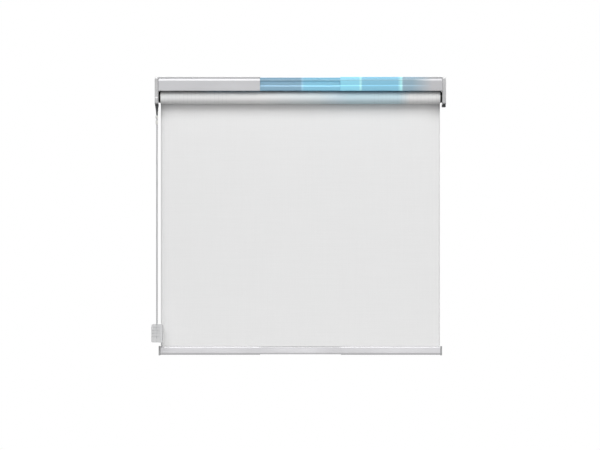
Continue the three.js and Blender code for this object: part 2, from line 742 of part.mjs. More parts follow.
function addTensioner() {
  const unit = group(chainX, rollAxisY, pulleyZ);
  const halfX = tensionerWidth / 2;
  const halfZ = tensionerHeight / 2;
  const slotHalf = beadRadius + 2 * runGap;
  const room = pitchRadius + slotHalf;
  const wellHalf = slotHalf + pulleySideGap;
  const well = rod(-wellHalf, wellHalf, room, 40);
  const runs = [-1, 1].map((way) =>
    box(
      [-slotHalf, slotHalf],
      [way * pitchRadius - slotHalf, way * pitchRadius + slotHalf],
      [0, halfZ + past],
    ),
  );
  let body = roundedXZ(halfX, halfZ, tensionerCorner, -tensionerFront, tensionerBack);
  body = cut(body, well, ...runs);
  for (let i = 0; i < ribCount; i += 1) {
    const z = halfZ - ribTopInset - i * ribPitch;
    const groove = box(
      [-halfX - past, halfX - ribPlainEdge],
      [-tensionerFront - past, -tensionerFront + ribDepth],
      [z - ribHeight / 2, z + ribHeight / 2],
    );
    body = cut(body, groove);
  }
  const axleHalf = pulleyAxle.length / 2;
  body = cut(body, rod(-axleHalf - fitGap, axleHalf + fitGap, pulleyAxle.radius + fitGap));
  const screwZ = halfZ - tensionerScrew.inset;
  const headX = halfX - screwHead.height - fitGap;
  for (const z of [screwZ, -screwZ]) {
    const bore = rod(-tensionerScrew.reach - past, halfX, screwShankRadius + fitGap, 16);
    const head = rod(headX, halfX + past, screwHead.radius + fitGap, 20);
    body = cut(body, bore.translate([0, 0, z]), head.translate([0, 0, z]));
  }
  const half = (side) =>
    box(
      [(side * fitGap) / 2, side * (halfX + past)],
      [-tensionerFront - past, tensionerBack + past],
      [-halfZ - past, halfZ + past],
    );
  place(unit, "tensioner_shell_left", body.intersect(half(-1)), finish.shell);
  place(unit, "tensioner_shell_right", body.intersect(half(1)), finish.shell);
  for (const [name, z] of [["upper", screwZ], ["lower", -screwZ]]) {
    const screw = join(
      rod(-tensionerScrew.reach, headX + past, screwShankRadius, 16),
      rod(headX + fitGap, halfX - weld, screwHead.radius, 20),
    );
    place(unit, `tensioner_screw_${name}`, screw.translate([0, 0, z]), finish.steel);
  }
  const pulley = lathe(groovedProfile(wheelWidth, pulleyAxle.radius + runGap), lathedX, 36);
  place(unit, "tensioner_pulley", pulley, finish.nylon);
  place(unit, "tensioner_axle", rod(-axleHalf, axleHalf, pulleyAxle.radius), finish.steel);

  const wallY = -rollAxisY;
  const toX = -(halfWidth - railEndInset) - chainX - footInset;
  const neckZ = foot.neckHeight / 2;
  const neck = box([-foot.neckWidth, toX], [tensionerBack + fitGap, wallY - weld], [-neckZ, neckZ]);
  const base = box([-foot.width, toX], [wallY - foot.thickness, wallY], [-foot.height / 2, foot.height / 2]);
  const holes = [-1, 1].map((way) => {
    const z = (way * footHole.spread) / 2;
    return holeY(footHole.x, z, wallHoleRadius, wallY - foot.thickness - past, wallY + past);
  });
  place(unit, "tensioner_foot", cut(join(neck, base), ...holes), finish.shell);
}

// ---- Fabric and bottom rail ----
function railOutline(inset) {
  const half = railDepth / 2 - inset;
  const low = -railHeight + inset;
  const topHalf = half * (1 - railSlope.draw);
  const lowHalf = half * (1 - railSlope.draw * railSlope.lowShare);
  const slopeZ = -railHeight + railSlope.bottom;
  return [
    [-topHalf, -inset],
    [-half, -railSlope.top],
    [-half, slopeZ],
    [-lowHalf, low],
    [lowHalf, low],
    [half, slopeZ],
    [half, -railSlope.top],
    [topHalf, -inset],
  ];
}

function railSection(fromX, toX, inset) {
  const beyond = [fromX - past, toX + past];
  const slot = box(beyond, [-railSlot / 2, railSlot / 2], [-inset - railWall - past, past]);
  const hollow = extrudeX(railOutline(inset + railWall), ...beyond);
  return cut(extrudeX(railOutline(inset), fromX, toX), hollow, slot);
}

function addBottomRail() {
  const rail = group(0, fabricY, bottomRailZ);
  const capOuterX = halfWidth - railEndInset;
  const endX = capOuterX - railCap.thickness - fitGap;
  const innerInset = railWall + slideGap;
  place(rail, "bottom_rail_left", railSection(-endX, -endX + railLeftLength, 0), finish.rail);
  place(rail, "bottom_rail_right", railSection(endX - railRightLength, endX, 0), finish.rail);
  const fromX = innerShift - railInnerLength / 2;
  const toX = innerShift + railInnerLength / 2;
  place(rail, "bottom_rail_inner", railSection(fromX, toX, innerInset), finish.rail);

  const over = (railCap.height - railHeight) / 2;
  for (const [label, side] of [["left", -1], ["right", 1]]) {
    const plate = box(
      [side * (endX + fitGap), side * capOuterX],
      [-railCap.depth / 2, railCap.depth / 2],
      [-railHeight - over, over],
    );
    const tongueHalf = railDepth / 2 - railWall - capTongue.sideGap;
    const tongue = box(
      [side * (endX - capTongue.length), side * (endX + fitGap + weld)],
      [-tongueHalf, tongueHalf],
      [-railHeight + capTongue.low, -railHeight + capTongue.high],
    );
    place(rail, `bottom_cap_${label}`, join(plate, tongue), finish.cap);
  }
  const splineZ = -innerInset - railWall - splineRadius - splineDrop;
  const splineHalf = endX - splineInset;
  const spline = rod(-splineHalf, splineHalf, splineRadius, 12).translate([0, 0, splineZ]);
  place(rail, "hem_spline", spline, finish.nylon);
}

function addFabricSheet() {
  const sheet = box(
    [-rollHalfLength, rollHalfLength],
    [fabricY - fabricThickness / 2, fabricY + fabricThickness / 2],
    [bottomRailZ + fitGap, rollAxisZ],
  );
  place(group(0, 0, 0), "fabric_sheet", sheet, finish.fabric);
}

addHeadrail();
addWallClip();
addEnd(-1, "left");
addEnd(1, "right");
const roller = group(0, rollAxisY, rollAxisZ);
addDrive(roller);
addRoller(roller);
addIdleBush();
addChain();
addTensioner();
addBottomRail();
addFabricSheet();

export default blind;
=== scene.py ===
import logging
import math
from dataclasses import dataclass, field
from enum import Enum

import bmesh
import bpy
import numpy as np
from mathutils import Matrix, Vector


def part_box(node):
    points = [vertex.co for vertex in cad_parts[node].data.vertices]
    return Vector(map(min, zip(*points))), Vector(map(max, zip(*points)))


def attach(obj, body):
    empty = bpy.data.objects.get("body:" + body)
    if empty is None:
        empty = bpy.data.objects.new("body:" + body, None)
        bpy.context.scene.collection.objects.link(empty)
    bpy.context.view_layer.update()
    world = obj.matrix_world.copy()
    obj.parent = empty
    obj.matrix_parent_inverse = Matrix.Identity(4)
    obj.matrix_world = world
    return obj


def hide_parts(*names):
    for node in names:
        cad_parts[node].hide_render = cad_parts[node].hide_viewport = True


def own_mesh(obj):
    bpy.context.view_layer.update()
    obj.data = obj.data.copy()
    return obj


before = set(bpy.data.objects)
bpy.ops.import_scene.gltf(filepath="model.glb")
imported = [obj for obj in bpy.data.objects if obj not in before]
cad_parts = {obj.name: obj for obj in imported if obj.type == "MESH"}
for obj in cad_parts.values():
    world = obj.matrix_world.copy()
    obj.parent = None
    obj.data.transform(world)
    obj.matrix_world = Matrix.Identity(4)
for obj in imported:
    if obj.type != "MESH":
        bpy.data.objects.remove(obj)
LOG = logging.getLogger("roller_blind")
Array = np.ndarray
Point = tuple[float, float, float]
Colour = tuple[float, float, float]
Socket = bpy.types.NodeSocket
MM = 0.001
X, Y, Z = 0, 1, 2
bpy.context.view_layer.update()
PEEL_SIZE = 1.6 * MM
PEEL_DEPTH = 0.012 * MM


class Body(Enum):
    """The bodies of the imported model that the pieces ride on."""

    WALL = "wall_frame"
    RIGHT_END = "right_end"
    ROLLER = "roller"
    INNER_ROLLER = "inner_roller"
    IDLE_PIN = "idle_pin_body"
    RAIL = "bottom_rail"
    RAIL_END = "bottom_rail_end"
    PULLEY = "tensioner_wheel"
    CHAIN_FITTINGS = "chain_fittings"


class Axis(Enum):
    """The axis that a turned piece is turned about, as its index in a point."""

    ALONG_BLIND = X
    UPRIGHT = Z


# ---------------------------------------------------------------- node box


def node_range(node: str, axis: int) -> tuple[float, float]:
    """The lowest and highest coordinate of a CAD node along one axis.

    Args:
        node: name of the CAD node.
        axis: 0, 1 or 2 for X, Y or Z.

    Returns:
        The two coordinates in metres.
    """
    low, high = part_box(node)
    return low[axis], high[axis]


def node_centre(node: str) -> Array:
    """The middle of a CAD node's box, in metres."""
    low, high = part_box(node)
    return (np.array(low) + np.array(high)) / 2


def half_size(node: str, axis: int) -> float:
    """Half of a CAD node's size along one axis, in metres."""
    low, high = node_range(node, axis)
    return (high - low) / 2


def axis_point(node: str) -> Array:
    """The point at X zero on the line along X through the middle of a CAD node."""
    centre = node_centre(node)
    centre[X] = 0
    return centre


# ---------------------------------------------------------------- surfaces


def rounded_outline(
    corners: list[tuple[float, float]], radii: float | list[float], steps: int = 5
) -> Array:
    """A closed outline whose corners are circular arcs.

    Each arc's centre lies on the corner's bisector at radius / sin(half angle), and its points turn
    evenly from one tangent point to the other. A radius is limited by its two neighbouring sides.

    Args:
        corners: the sharp outline's points, in metres.
        radii: one radius for every corner, or a list with one for each.
        steps: points on each arc, less one.

    Returns:
        The outline's points, one row each.
    """
    corner = np.array(corners, float)
    radius = np.broadcast_to(np.array(radii, float), (len(corner),)).copy()
    back = np.roll(corner, 1, axis=0) - corner
    ahead = np.roll(corner, -1, axis=0) - corner
    back_length = np.linalg.norm(back, axis=1)
    ahead_length = np.linalg.norm(ahead, axis=1)
    u = back / back_length[:, None]
    v = ahead / ahead_length[:, None]
    half = np.arccos(np.clip((u * v).sum(1), -1, 1)) / 2
    reach = np.minimum(np.maximum(radius, 1e-6) / np.tan(half), 0.45 * np.minimum(back_length, ahead_length))
    radius = reach * np.tan(half)
    bisector = (u + v) / np.linalg.norm(u + v, axis=1)[:, None]
    centre = corner + bisector * (radius / np.sin(half))[:, None]
    first = corner + u * reach[:, None] - centre
    last = corner + v * reach[:, None] - centre
    turn = (np.pi - 2 * half)[:, None, None]
    share = np.linspace(0, 1, steps + 1)[None, :, None]
    early = np.sin((1 - share) * turn) * first[:, None]
    late = np.sin(share * turn) * last[:, None]
    blend = (early + late) / np.sin(turn)
    return (centre[:, None] + blend).reshape(-1, 2)


def grid_quads(rows: int, columns: int, closed_rows: bool = False, closed_columns: bool = False) -> Array:
    """Quads between neighbouring points of a grid stored row by row.

    Args:
        rows: rows of points.
        columns: points in a row.
        closed_rows: joins the last row to the first.
        closed_columns: joins each row's last point to its first.

    Returns:
        Four point indices for each quad.
    """
    i = np.arange(rows if closed_rows else rows - 1)[:, None]
    j = np.arange(columns if closed_columns else columns - 1)[None, :]
    a = i * columns + j
    b = i * columns + (j + 1) % columns
    c = ((i + 1) % rows) * columns + (j + 1) % columns
    d = ((i + 1) % rows) * columns + j
    return np.stack([a, b, c, d], axis=-1).reshape(-1, 4)


def mesh_object(name: str, points: Array, faces: list, sharp_deg: float = 32.0) -> bpy.types.Object:
    """A linked mesh object with its doubles merged, its faces turned outwards and shaded smooth.

    Args:
        name: the piece's name.
        points: vertex positions in metres, one row each.
        faces: vertex indices of each face.
        sharp_deg: edges that bend by more than this stay sharp.

    Returns:
        The new object, at the origin.
    """
    mesh = bpy.data.meshes.new(name)
    mesh.from_pydata(points.tolist(), [], [list(map(int, face)) for face in faces])
    mesh.validate()
    return finish_mesh(name, mesh, sharp_deg)


def finish_mesh(name: str, mesh: bpy.types.Mesh, sharp_deg: float) -> bpy.types.Object:
    """Merges doubles, turns the faces outwards, shades smooth and links the mesh as an object."""
    work = bmesh.new()
    work.from_mesh(mesh)
    bmesh.ops.remove_doubles(work, verts=work.verts, dist=1e-6)
    bmesh.ops.recalc_face_normals(work, faces=work.faces)
    work.to_mesh(mesh)
    work.free()
    mesh.shade_smooth()
    mesh.set_sharp_from_angle(angle=math.radians(sharp_deg))
    piece = bpy.data.objects.new(name, mesh)
    bpy.context.scene.collection.objects.link(piece)
    return piece


def bevelled(
    piece: bpy.types.Object, width: float, segments: int = 2, angle_deg: float = 35.0
) -> bpy.types.Object:
    """Adds a bevel to a piece's sharp edges, keeps its flat faces flat in shading, and returns it."""
    bevel = piece.modifiers.new("edge_break", "BEVEL")
    bevel.width = width
    bevel.segments = segments
    bevel.limit_method = "ANGLE"
    bevel.angle_limit = math.radians(angle_deg)
    even = piece.modifiers.new("even_shading", "WEIGHTED_NORMAL")
    even.keep_sharp = True
    return piece


def prism(name: str, outline: Array, stations: Array) -> bpy.types.Object:
    """A closed outline in Y and Z carried along X, with a flat face at each end.

    Point (s, t) of the surface is (station s, outline t).

    Args:
        name: the piece's name.
        outline: the outline's points, in metres.
        stations: positions along X, in metres.

    Returns:
        The new object.
    """
    count, rows = len(outline), len(stations)
    points = np.empty((rows, count, 3))
    points[..., X] = np.asarray(stations)[:, None]
    points[..., 1:] = outline[None]
    sides = grid_quads(rows, count, closed_columns=True)
    ends = [np.arange(count)[::-1], np.arange(count) + (rows - 1) * count]
    return mesh_object(name, points.reshape(-1, 3), [*sides, *ends])


def turned(
    name: str, profile: Array, centre: Array, axis: Axis = Axis.ALONG_BLIND,
    segments: int = 72, socket: float = 0.0,
) -> bpy.types.Object:
    """A profile turned about an axis.

    Point (s, t) stands at profile s's distance along the axis and at its radius, turned by angle t.
    With a socket, rows whose radius is exactly the socket's follow a hexagon instead of a circle.

    Args:
        name: the piece's name.
        profile: rows of distance along the axis and radius, in metres, ending on the axis or closing.
        centre: the point that distances are measured from.
        axis: the axis of turning.
        segments: steps round the axis.
        socket: radius of the rows that are hexagonal, or 0 for none.

    Returns:
        The new object.
    """
    rows = np.array(profile, float)
    angle = np.linspace(0, 2 * np.pi, segments, endpoint=False)
    hexagon = np.cos(np.pi / 6) / np.cos((angle % (np.pi / 3)) - np.pi / 6)
    is_socket = np.isclose(rows[:, 1], socket) & (socket > 0)
    reach = rows[:, 1][:, None] * np.where(is_socket[:, None], hexagon[None], 1.0)
    points = np.empty((len(rows), segments, 3))
    first, second = [k for k in (X, Y, Z) if k != axis.value]
    points[..., axis.value] = rows[:, 0][:, None]
    points[..., first] = reach * np.cos(angle)
    points[..., second] = reach * np.sin(angle)
    points += np.asarray(centre, float)
    closed = rows[0, 1] > 1e-9
    faces = grid_quads(len(rows), segments, closed_rows=closed, closed_columns=True)
    return mesh_object(name, points.reshape(-1, 3), list(faces))


def ring_profile(start: float, stop: float, outer: float, bore: float, edge: float = 0.3 * MM) -> Array:
    """The closed profile of a plain ring with small chamfers on its outer edges."""
    return np.array([
        (start, bore), (start, outer - edge), (start + edge, outer),
        (stop - edge, outer), (stop, outer - edge), (stop, bore),
    ])


def rod_profile(start: float, stop: float, radius: float, edge: float = 0.3 * MM) -> Array:
    """The profile of a solid rod with chamfered ends, from axis to axis."""
    return np.array([
        (start, 0), (start, radius - edge), (start + edge, radius),
        (stop - edge, radius), (stop, radius - edge), (stop, 0),
    ])


def helix_wire(
    name: str, centre: Array, span: tuple[float, float], radius: float, wire: float, turns: float
) -> bpy.types.Object:
    """A coil of round wire about X.

    Its centre line is (x, radius cos a, radius sin a) with x growing evenly with the angle a, and the
    section is a circle in the plane of the radius and X.

    Args:
        name: the piece's name.
        centre: a point on the coil's axis.
        span: where the centre line starts and stops along X.
        radius: of the centre line.
        wire: the wire's diameter.
        turns: number of turns.

    Returns:
        The new object.
    """
    rows, around = int(turns * 28), 10
    a = np.linspace(0, 2 * np.pi * turns, rows)[:, None]
    b = np.linspace(0, 2 * np.pi, around, endpoint=False)[None]
    reach = radius + wire / 2 * np.cos(b)
    points = np.empty((rows, around, 3))
    points[..., X] = np.linspace(*span, rows)[:, None] + wire / 2 * np.sin(b)
    points[..., Y] = centre[Y] + reach * np.cos(a)
    points[..., Z] = centre[Z] + reach * np.sin(a)
    sides = grid_quads(rows, around, closed_columns=True)
    ends = [np.arange(around)[::-1], np.arange(around) + (rows - 1) * around]
    return mesh_object(name, points.reshape(-1, 3), [*sides, *ends])


def refined_node(node: str, name: str, edge: float) -> bpy.types.Object:
    """A merged copy of a CAD node's mesh with its flat faces joined and its edges rounded.

    Args:
        node: the CAD node to copy.
        name: the new piece's name.
        edge: width of the edge rounding, in metres.

    Returns:
        The new object, which still has to ride on a body.
    """
    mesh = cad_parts[node].data.copy()
    mesh.name = name
    mesh.materials.clear()
    work = bmesh.new()
    work.from_mesh(mesh)
    bmesh.ops.remove_doubles(work, verts=work.verts, dist=2e-6)
    bmesh.ops.dissolve_limit(work, angle_limit=math.radians(1), verts=work.verts, edges=work.edges)
    work.to_mesh(mesh)
    work.free()
    piece = finish_mesh(name, mesh, 32)
    return bevelled(piece, edge) if edge > 0 else piece


# ---------------------------------------------------------------- finishes


class NodeGraph:
    """A material's node tree, with short calls for the nodes that the finishes share."""

    def __init__(self, name: str) -> None:
        """Starts an empty principled material."""
        self.material = bpy.data.materials.new(name)
        self.material.use_nodes = True
        self.tree = self.material.node_tree
        self.tree.nodes.clear()
        self.shader = self.tree.nodes.new("ShaderNodeBsdfPrincipled")
        output = self.tree.nodes.new("ShaderNodeOutputMaterial")
        self.tree.links.new(self.shader.outputs["BSDF"], output.inputs["Surface"])
        self.place = self.tree.nodes.new("ShaderNodeTexCoord").outputs["Object"]

    def link(self, source: Socket, target: Socket) -> None:
        """Joins two sockets."""
        self.tree.links.new(source, target)

    def surface(self, **numbers: float | Colour) -> None:
        """Sets whole-surface numbers on the shader's own sockets; underscores stand for spaces."""
        for key, value in numbers.items():
            socket = self.shader.inputs[key.replace("_", " ")]
            socket.default_value = (*value, 1.0) if isinstance(value, tuple) else value

    def scaled(self, scale: Point) -> Socket:
        """Object coordinates multiplied by a factor along each axis."""
        mapping = self.tree.nodes.new("ShaderNodeMapping")
        mapping.inputs["Scale"].default_value = scale
        self.link(self.place, mapping.inputs["Vector"])
        return mapping.outputs["Vector"]

    def noise(self, scale: Point, detail: float = 2.0, roughness: float = 0.5) -> Socket:
        """Smooth noise whose grain is one over scale, in metres, along each axis."""
        node = self.tree.nodes.new("ShaderNodeTexNoise")
        node.inputs["Scale"].default_value = 1.0
        node.inputs["Detail"].default_value = detail
        node.inputs["Roughness"].default_value = roughness
        self.link(self.scaled(scale), node.inputs["Vector"])
        return node.outputs["Fac"]

    def calc(self, operation: str, a: Socket | float, b: Socket | float = 0.0) -> Socket:
        """One arithmetic step between sockets or numbers."""
        node = self.tree.nodes.new("ShaderNodeMath")
        node.operation = operation
        for socket, value in zip(node.inputs, (a, b)):
            if isinstance(value, Socket):
                self.link(value, socket)
            else:
                socket.default_value = value
        return node.outputs[0]

    def axis(self, axis: int) -> Socket:
        """One object coordinate, in metres."""
        node = self.tree.nodes.new("ShaderNodeSeparateXYZ")
        self.link(self.place, node.inputs[0])
        return node.outputs[axis]

    def spread(self, value: Socket, low: float, high: float, to: tuple[float, float] = (0.0, 1.0)) -> Socket:
        """A value's range low to high carried to another range, and held at its ends."""
        node = self.tree.nodes.new("ShaderNodeMapRange")
        self.link(value, node.inputs["Value"])
        for key, number in zip(("From Min", "From Max", "To Min", "To Max"), (low, high, *to)):
            node.inputs[key].default_value = number
        return node.outputs["Result"]

    def ramp(self, factor: Socket, stops: list[tuple[float, Colour]]) -> Socket:
        """A colour that changes with a factor from 0 to 1, in even blends between its stops."""
        node = self.tree.nodes.new("ShaderNodeValToRGB")
        node.color_ramp.elements.remove(node.color_ramp.elements[0])
        for index, (position, colour) in enumerate(stops):
            element = node.color_ramp.elements[0] if index == 0 else node.color_ramp.elements.new(position)
            element.position = position
            element.color = (*colour, 1.0)
        self.link(factor, node.inputs["Fac"])
        return node.outputs["Color"]

    def mix(
        self, factor: Socket | float, a: Socket | Colour, b: Socket | Colour, blend: str = "MIX"
    ) -> Socket:
        """Two colours mixed by a factor."""
        node = self.tree.nodes.new("ShaderNodeMix")
        node.data_type = "RGBA"
        node.blend_type = blend
        sockets = [s for s in node.inputs if s.enabled]
        for socket, value in zip(sockets, (factor, a, b)):
            if isinstance(value, Socket):
                self.link(value, socket)
            elif isinstance(value, tuple):
                socket.default_value = (*value, 1.0)
            else:
                socket.default_value = value
        return [s for s in node.outputs if s.enabled][0]

    def banded(self, colour: Socket, axis: int, bands: tuple[tuple[float, float], ...]) -> Socket:
        """A colour multiplied by a shade that changes along one axis; a place and a shade for each band."""
        low, high = bands[0][0], bands[-1][0]
        stops = [((place - low) / (high - low), (shade,) * 3) for place, shade in bands]
        return self.mix(1.0, colour, self.ramp(self.spread(self.axis(axis), low, high), stops), "MULTIPLY")

    def bump(self, height: Socket, distance: float, strength: float = 1.0) -> None:
        """Bends the surface's normal by a height field that is distance deep."""
        node = self.tree.nodes.new("ShaderNodeBump")
        node.inputs["Distance"].default_value = distance
        node.inputs["Strength"].default_value = strength
        self.link(height, node.inputs["Height"])
        self.link(node.outputs["Normal"], self.shader.inputs["Normal"])

    def to(self, key: str, source: Socket) -> None:
        """Feeds a varying value into one of the shader's sockets."""
        self.link(source, self.shader.inputs[key])


@dataclass(frozen=True)
class PowderCoat:
    """Satin powder coat on aluminium or steel: fine orange peel and a slightly uneven sheen."""

    name: str
    slot: str
    colour: Colour
    roughness: float = 0.4
    metallic: float = 0.45
    peel_size: float = PEEL_SIZE
    peel_depth: float = PEEL_DEPTH
    bands: tuple[tuple[float, float], ...] = ()

    def graph(self) -> NodeGraph:
        """The coat's colour, sheen and orange peel, with its bands of painted highlight and shade: a height
        and a shade for each.
        """
        g = NodeGraph(self.name)
        g.surface(Metallic=self.metallic, Specular_IOR_Level=0.5, Coat_Weight=0.12, Coat_Roughness=0.3)
        peel = g.noise((1 / self.peel_size,) * 3, 2.0)
        cloud = g.noise((6.0, 30.0, 30.0), 3.0)
        darker = tuple(0.955 * c for c in self.colour)
        lighter = tuple(min(1.0, 1.02 * c) for c in self.colour)
        colour = g.ramp(cloud, [(0.3, darker), (0.7, lighter)])
        if self.bands:
            colour = g.banded(colour, Z, self.bands)
        g.to("Base Color", colour)
        sheen = (self.roughness - 0.05, self.roughness + 0.06)
        g.to("Roughness", g.spread(g.calc("ADD", peel, cloud), 0.6, 1.4, sheen))
        g.bump(peel, self.peel_depth)
        return g

    def material(self) -> bpy.types.Material:
        """The finished material."""
        return self.graph().material


@dataclass(frozen=True)
class SlidingBlue:
    """The sliding part of the headrail in a painted blue glow, with painted glints and lengthwise lines of
    painted highlight and shade, fading to silver.

    The colour along X and the lines across Z are ramps on object coordinates, so the blue travels
    with the section that carries it.
    """

    name: str
    slot: str
    silver: Colour
    tints: tuple[tuple[float, Colour], ...]

    def material(self) -> bpy.types.Material:
        """The finished material."""
        g = NodeGraph(self.name)
        g.surface(Specular_IOR_Level=0.5, Coat_Weight=0.12, Coat_Roughness=0.3)
        x = g.axis(X)
        start, stop = self.tints[0][0], self.tints[-1][0]
        tints = [((place - start) / (stop - start), tint) for place, tint in self.tints]
        # The blue along X is a painted glow, and its glints are painted highlights.
        tint = g.ramp(g.spread(x, start, stop), tints)
        # Lengthwise lines of painted highlight and painted shade across Z.
        glow_and_painted_lines = g.banded(tint, Z, BLUE_HIGHLIGHT_AND_SHADE_LINES)
        fade = g.spread(x, BLUE_FADE[0], BLUE_FADE[1], (1.0, 0.0))
        cloud = g.noise((6.0, 30.0, 30.0), 3.0)
        silver = g.ramp(cloud, [(0.3, tuple(0.96 * c for c in self.silver)), (0.7, self.silver)])
        # The silver keeps the painted shade band at the foot of the lip.
        g.to("Base Color", g.mix(fade, g.banded(silver, Z, LIP_PAINTED_SHADE), glow_and_painted_lines))
        g.to("Metallic", g.spread(fade, 0.0, 1.0, (0.45, 0.0)))
        peel = g.noise((1 / PEEL_SIZE,) * 3, 2.0)
        g.to("Roughness", g.spread(peel, 0.3, 0.7, (0.36, 0.46)))
        g.bump(peel, PEEL_DEPTH)
        return g.material


@dataclass(frozen=True)
class MouldedPlastic:
    """Injection-moulded plastic with a fine spark texture and faint flow marks."""

    name: str
    slot: str
    colour: Colour
    roughness: float = 0.5
    grain: float = 0.7 * MM
    grain_depth: float = 0.02 * MM
    specular: float = 0.45

    def material(self) -> bpy.types.Material:
        """The finished material."""
        g = NodeGraph(self.name)
        g.surface(Specular_IOR_Level=self.specular, Metallic=0.0)
        grain = g.noise((1 / self.grain,) * 3, 3.0)
        flow = g.noise((40.0, 40.0, 14.0), 2.0)
        g.to("Base Color", g.ramp(flow, [(0.25, tuple(0.93 * c for c in self.colour)), (0.75, self.colour)]))
        g.to("Roughness", g.spread(grain, 0.3, 0.7, (self.roughness - 0.07, self.roughness + 0.07)))
        g.bump(grain, self.grain_depth)
        return g.material


@dataclass(frozen=True)
class BrightMetal:
    """Drawn or plated steel with lines along its length and a broken sheen."""

    name: str
    slot: str
    colour: Colour
    roughness: float = 0.3
    stretch: Point = (20.0, 900.0, 900.0)

    def material(self) -> bpy.types.Material:
        """The finished material."""
        g = NodeGraph(self.name)
        g.surface(Metallic=1.0)
        drawn = g.noise(self.stretch, 4.0, 0.6)
        spangle = g.noise((220.0, 220.0, 220.0), 2.0)
        g.to("Base Color", g.ramp(spangle, [(0.3, tuple(0.82 * c for c in self.colour)), (0.7, self.colour)]))
        g.to("Roughness", g.spread(drawn, 0.3, 0.7, (self.roughness - 0.08, self.roughness + 0.12)))
        g.bump(drawn, 0.006 * MM)
        return g.material


@dataclass(frozen=True)
class WovenCloth:
    """Plain-woven coated cloth: warp and weft threads, slubs along both and tear lines near the edges."""

    name: str
    slot: str
    colour: Colour
    thread: float = 0.62 * MM
    weave_depth: float = 0.05 * MM
    around_axis: bool = False
    tear_pitch: float = 12 * MM
    tear_zone: float = 28 * MM
    tear_shade: float = 0.05
    painted_glow_along: tuple[tuple[float, Colour], ...] = ()

    def weave(self, g: NodeGraph, across: Socket, down: Socket) -> Socket:
        """Height of a plain weave: a wave across times a wave down, each repeating every two threads."""
        rate = np.pi / self.thread
        warp = g.calc("SINE", g.calc("MULTIPLY", across, rate))
        weft = g.calc("SINE", g.calc("MULTIPLY", down, rate))
        return g.calc("MULTIPLY", warp, weft)

    def material(self) -> bpy.types.Material:
        """The finished material."""
        g = NodeGraph(self.name)
        g.surface(Specular_IOR_Level=0.15, Sheen_Weight=0.12, Sheen_Roughness=0.5, Roughness=0.88)
        across = g.axis(X)
        down = g.axis(Z)
        if self.around_axis:
            up = g.calc("SUBTRACT", g.axis(Z), ROLL_AXIS[Z])
            out = g.calc("SUBTRACT", g.axis(Y), ROLL_AXIS[Y])
            down = g.calc("MULTIPLY", g.calc("ARCTAN2", up, out), ROLL_RADIUS)
        weave = self.weave(g, across, down)
        warp_slub = g.noise((900.0, 900.0, 9.0), 2.0)
        weft_slub = g.noise((7.0, 30.0, 700.0), 2.0)
        slub = g.calc("ADD", warp_slub, weft_slub)
        thin = tuple(0.972 * c for c in self.colour)
        base = g.ramp(g.spread(slub, 0.7, 1.3), [(0.0, thin), (1.0, self.colour)])
        from_edge = g.calc("SUBTRACT", CLOTH_HALF, g.calc("ABSOLUTE", across))
        edge = g.spread(from_edge, self.tear_zone - 1 * MM, self.tear_zone, (1.0, 0.0))
        ripple = g.calc("COSINE", g.calc("MULTIPLY", from_edge, 2 * np.pi / self.tear_pitch))
        line = g.calc("MULTIPLY", g.spread(ripple, 0.93, 1.0), edge)
        # A colour along X that paints glow thrown onto the cloth.
        if self.painted_glow_along:
            start, stop = self.painted_glow_along[0][0], self.painted_glow_along[-1][0]
            stops = [((place - start) / (stop - start), tint) for place, tint in self.painted_glow_along]
            base = g.mix(1.0, base, g.ramp(g.spread(across, start, stop), stops), "MULTIPLY")
        shade = g.mix(g.calc("MULTIPLY", line, self.tear_shade), base, (0.25, 0.25, 0.26))
        crossing = g.calc("MULTIPLY", g.spread(weave, -1.0, 1.0), 0.03)
        g.to("Base Color", g.mix(crossing, shade, (0.45, 0.45, 0.46)))
        g.bump(g.calc("ADD", weave, g.calc("MULTIPLY", slub, 0.5)), self.weave_depth, 0.6)
        return g.material


ROLL_AXIS = node_centre("fabric_roll")
ROLL_RADIUS = node_range("fabric_roll", Z)[1] - ROLL_AXIS[Z]
CLOTH_HALF = node_range("fabric_sheet", X)[1]
SECTION_LOW, SECTION_TOP = node_range("headrail_left", Z)
SECTION_HEIGHT = SECTION_TOP - SECTION_LOW
LIP_HEIGHT = 4.9 * MM
SLOPE_HEIGHT = 6.2 * MM
SLOPE_FOOT = SECTION_TOP - LIP_HEIGHT - SLOPE_HEIGHT
LEFT_SECTION_END = node_range("headrail_left", X)[1]
RIGHT_SECTION_START, RIGHT_SECTION_END = node_range("headrail_right", X)
RIGHT_LENGTH = RIGHT_SECTION_END - RIGHT_SECTION_START

# Where the painted glints stand on the right section, and where the painted blue glow fades to silver.
FIRST_GLINT = RIGHT_SECTION_START + RIGHT_LENGTH / 5
SECOND_GLINT = RIGHT_SECTION_START + RIGHT_LENGTH * 3 / 5
GLINT_REACH = 6 * MM
BLUE_FADE = (RIGHT_SECTION_START + 0.7 * RIGHT_LENGTH, RIGHT_SECTION_START + 0.9 * RIGHT_LENGTH)
# Colours of the painted blue glow; the glint and the pale line are painted highlights.
STEEL_BLUE = (0.25, 0.45, 0.6)
SKY_BLUE = (0.25, 0.6, 0.8)
CLEAR_BLUE = (0.3, 0.75, 0.95)
GLINT = (0.5, 0.95, 1.0)
PALE_HIGHLIGHT_LINE = (0.35, 0.65, 0.85)
DULL_BLUE = (0.3, 0.45, 0.55)

# Painted blue glow: steel blue up to the middle, sky blue after it, with a paler painted highlight line
# between the two.
INNER_PAINTED_GLOW = (
    (LEFT_SECTION_END, STEEL_BLUE),
    (0.0, STEEL_BLUE),
    (GLINT_REACH, PALE_HIGHLIGHT_LINE),
    (2 * GLINT_REACH, SKY_BLUE),
    (RIGHT_SECTION_START, SKY_BLUE),
)
